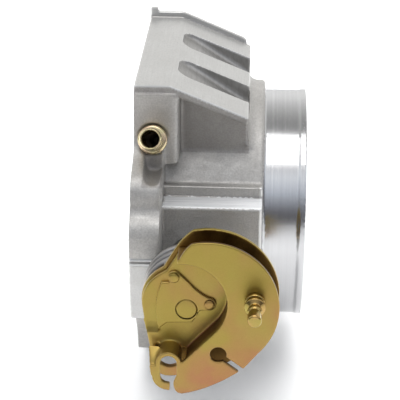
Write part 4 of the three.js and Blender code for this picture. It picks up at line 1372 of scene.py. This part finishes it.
def bearings():
    for side, label in ((-1, "lever"), (1, "sensor")):
        low, high = sorted((side * 48.0, side * 55.0))
        middle = (low + high) / 2
        outer = [
            (low, 7.75), (low, 8.5), (high, 8.5), (high, 7.75), (middle + 1.0, 7.6),
            (middle, 7.42), (middle - 1.0, 7.6),
        ]
        outer = soft_turned(outer, 0.18)
        steel_piece(outer, label + "_bearing_race", "housing", label + "_bearing_outer_ring")
        inner = [
            (low, CLOSE_FIT), (low, 5.95), (middle - 1.0, 5.95), (middle, 5.9), (middle + 1.0, 5.95),
            (high, 5.95), (high, CLOSE_FIT),
        ]
        inner = soft_turned(inner, 0.15)
        steel_piece(inner, label + "_bearing_sleeve", "throttle", label + "_bearing_inner_ring")
        parts = [ring("y", middle - 1.3, middle + 1.3, 6.5, 7.05, ON_SHAFT, 72)]
        for i in range(9):
            angle = 2 * math.pi * i / 9
            arc = [
                (0.62 * math.sin(t), 0.62 * math.cos(t))
                for t in (math.radians(a) for a in range(-90, 91, 15))
            ]
            arc = [(a, max(r, 0.0)) for a, r in arc]
            at = (SHAFT_X + 6.72 * math.cos(angle), middle, 6.72 * math.sin(angle))
            parts.append(turned("y", arc, at, 20))
        cage = join(parts, "cage")
        steel_piece(cage, label + "_bearing_balls", "housing", label + "_bearing_ball_cage")
        low, high = sorted((side * 42.5, side * 47.7))
        middle = (low + high) / 2
        seal = [
            (low, 6.25), (low, 8.5), (high, 8.5), (high, 6.25), (middle + 0.6, CLOSE_FIT),
            (middle, 5.2), (middle - 0.6, CLOSE_FIT),
        ]
        seal = soft_turned(seal, 0.2)
        piece(seal, label + "_lip_seal", "housing", RUBBER, [label + "_shaft_seal"])
        low, high = sorted((side * 55.6, side * 56.6))
        clip = ring("y", low, high, 7.1, 9.2, ON_SHAFT, 96)
        cut(clip, [box((SHAFT_X - 2, low - 1, -12), (SHAFT_X + 2, high + 1, -5))])
        softened(clip, 0.12)
        piece(
            clip, label + "_retaining_clip", "housing", DARK_STEEL,
            [label + "_retaining_ring"],
        )


def vacuum_nipple():
    profile = [
        (-8, 3.2), (-8, 3.7), (0.3, 3.7), (0.3, 5.75), (2.6, 5.75), (3.4, 5), (3.4, 3.8),
        (10.5, 3.6), (11.5, 4.3), (14, 4.3), (15, 3.8), (15, 3.5), (14.4, 3.2),
    ]
    nipple = turned(NIPPLE_WAY, rounded_profile(profile, 0.4), NIPPLE_AT, 96)
    plated_piece(nipple, "vacuum_hose_nipple", "housing", PALE_ZINC, "vacuum_nipple")


def stop_parts():
    screw = threaded("z", -19.5, -0.3, 2.4, 0.22, 0.8, STOP_AT)
    cut(screw, [rod("z", -20.5, -17, 1.3, STOP_AT, 6)])
    steel_piece(screw, "idle_set_screw", "housing", "idle_stop_screw", 50)
    blank = rod("z", -7.7, -4.2, 4.3, STOP_AT, 6)
    shape = turned(
        "z", [(-7.8, 0), (-7.8, 3.75), (-7.2, 4.3), (-4.7, 4.3), (-4.1, 3.75), (-4.1, 0)],
        STOP_AT, 72,
    )
    combine(blank, shape, "INTERSECT")
    cut(blank, [rod("z", -9, -2, 2.7, STOP_AT, 48)])
    softened(blank, 0.1)
    plated_piece(blank, "idle_lock_nut", "housing", PALE_ZINC, "idle_stop_locknut")
    pin = [(-81.6, 0), (-81.6, 1.1), (-81.2, 1.5), (-50, 1.5), (-50, 0)]
    pin = turned("y", pin, PIN_AT, 40)
    steel_piece(pin, "spring_anchor_post", "housing", "spring_anchor_pin")


def spool_and_spacer():
    profile = [(-76.2, CLOSE_FIT), (-76.2, 6.4), (-55.3, 6.4), (-55.3, CLOSE_FIT)]
    spacer = soft_turned(profile, 0.3, ON_SHAFT, 72)
    steel_piece(spacer, "shaft_spacer_sleeve", "throttle", "shaft_spacer")
    profile = [
        (-76.5, CLOSE_FIT), (-76.5, 13), (-78, 13), (-78.4, 8.4), (-96.9, 8.4), (-96.9, CLOSE_FIT),
    ]
    spool = soft_turned(profile, 0.4)
    piece(spool, "spring_bobbin", "throttle", NYLON, ["spring_spool"])


# ---------------------------------------------------------------- camera, floor and light
def camera():
    """The long lens that the object was seen through, a little above it and just right of square."""
    data = bpy.data.cameras.new("camera")
    lens = bpy.data.objects.new("camera", data)
    scene.collection.objects.link(lens)
    data.sensor_width = 36
    data.lens = 132.5
    elevation, azimuth, roll = map(math.radians, (23.31, 2.17, 0.6))
    back = Vector((
        math.sin(azimuth) * math.cos(elevation),
        -math.cos(azimuth) * math.cos(elevation),
        math.sin(elevation),
    ))
    lens.location = Vector((24.14, 0, 0)) * MM + back * 630.12 * MM
    lens.rotation_mode = "QUATERNION"
    facing = (-back).to_track_quat("-Z", "Y")
    lens.rotation_quaternion = facing @ Matrix.Rotation(roll, 3, "Z").to_quaternion()
    data.shift_y = -0.0046
    data.clip_start, data.clip_end = 0.01, 50
    data.dof.use_dof = False
    scene.camera = lens


def floor():
    half = 6.0
    level = cad_low.z
    mesh = bpy.data.meshes.new("floor")
    mesh.from_pydata(
        [(-half, -half, level), (half, -half, level), (half, half, level), (-half, half, level)],
        [], [(0, 1, 2, 3)],
    )
    thing = bpy.data.objects.new("floor", mesh)
    scene.collection.objects.link(thing)
    t = Tree("pale_floor")
    mottle = t.noise(6, 2.0, 0.5)
    base = t.blend(t.spread(mottle, 0.3, 0.7), grey(0.90), grey(0.92))
    thing.data.materials.append(t.finish(base, 0.9, 0.0))


def area_light(name, at, towards, size, power):
    data = bpy.data.lights.new(name, "AREA")
    data.shape = "RECTANGLE"
    data.size, data.size_y = size
    data.energy = power
    lamp = bpy.data.objects.new(name, data)
    lamp.location = at
    lamp.rotation_mode = "QUATERNION"
    lamp.rotation_quaternion = (Vector(towards) - Vector(at)).to_track_quat("-Z", "Y")
    scene.collection.objects.link(lamp)
    return lamp


def studio():
    """A soft box overhead, a fill on the floor behind, and a room that darkens in front."""
    scene.view_settings.view_transform = "Standard"
    area_light("soft_box", (0.02, -0.33, 1.15), (0.02, -0.33, 0), (0.85, 0.70), 5.0)
    fill = area_light("floor_fill", (0.10, 0.58, 1.25), (0.10, 0.58, 0), (2.0, 0.9), 14)
    fill.data.spread = math.radians(85)
    fill.visible_glossy = False
    world = bpy.data.worlds.new("studio")
    scene.world = world
    world.use_nodes = True
    nodes, links = world.node_tree.nodes, world.node_tree.links
    where = nodes.new("ShaderNodeTexCoord")
    split = nodes.new("ShaderNodeSeparateXYZ")
    links.new(where.outputs["Generated"], split.inputs[0])

    def ramp(source, stops):
        node = nodes.new("ShaderNodeValToRGB")
        elements = node.color_ramp.elements
        while len(elements) < len(stops):
            elements.new(0.5)
        for element, (position, shade_of) in zip(elements, stops):
            element.position = position
            element.color = (*shade_of, 1)
        links.new(source, node.inputs[0])
        return node.outputs["Color"]

    def spread(source, low, high):
        node = nodes.new("ShaderNodeMapRange")
        node.inputs["From Min"].default_value = low
        node.inputs["From Max"].default_value = high
        links.new(source, node.inputs["Value"])
        return node.outputs["Result"]

    height = spread(split.outputs["Z"], -1, 1)
    front = ramp(height, [
        (0.30, grey(0.60)), (0.44, grey(0.45)), (0.49, (0.13, 0.13, 0.14)),
        (0.59, (0.13, 0.13, 0.145)), (0.67, (0.36, 0.38, 0.43)), (0.76, (0.70, 0.75, 0.83)),
        (0.86, (1.05, 1.09, 1.15)), (0.93, (0.70, 0.70, 0.71)),
    ])
    back = ramp(height, [
        (0.48, grey(0.90)), (0.66, (1.05, 1.05, 1.04)), (0.75, (1.0, 1.0, 0.99)),
        (0.90, (0.62, 0.62, 0.61)), (0.98, (0.33, 0.33, 0.325)),
    ])
    mix = nodes.new("ShaderNodeMix")
    mix.data_type = "RGBA"
    links.new(spread(split.outputs["Y"], -0.12, 0.12), mix.inputs["Factor"])
    links.new(front, mix.inputs["A"])
    links.new(back, mix.inputs["B"])
    links.new(mix.outputs["Result"], nodes["Background"].inputs["Color"])
    nodes["Background"].inputs["Strength"].default_value = 1.0


# ---------------------------------------------------------------- assembly
camera()
studio()
floor()
body_casting()
vacuum_nipple()
stop_parts()
bearings()
throttle_shaft()
throttle_plate()
spool_and_spacer()
torsion_spring("return_spring_large", "return_spring_outer", 15.6, 1.4, 3.6, 250, 6)
torsion_spring("return_spring_small", "return_spring_inner", 10.6, 1.1, 4.4, 200, 2)
rear_plate()
cable_quadrant()
drive_plate()
lever_fittings()
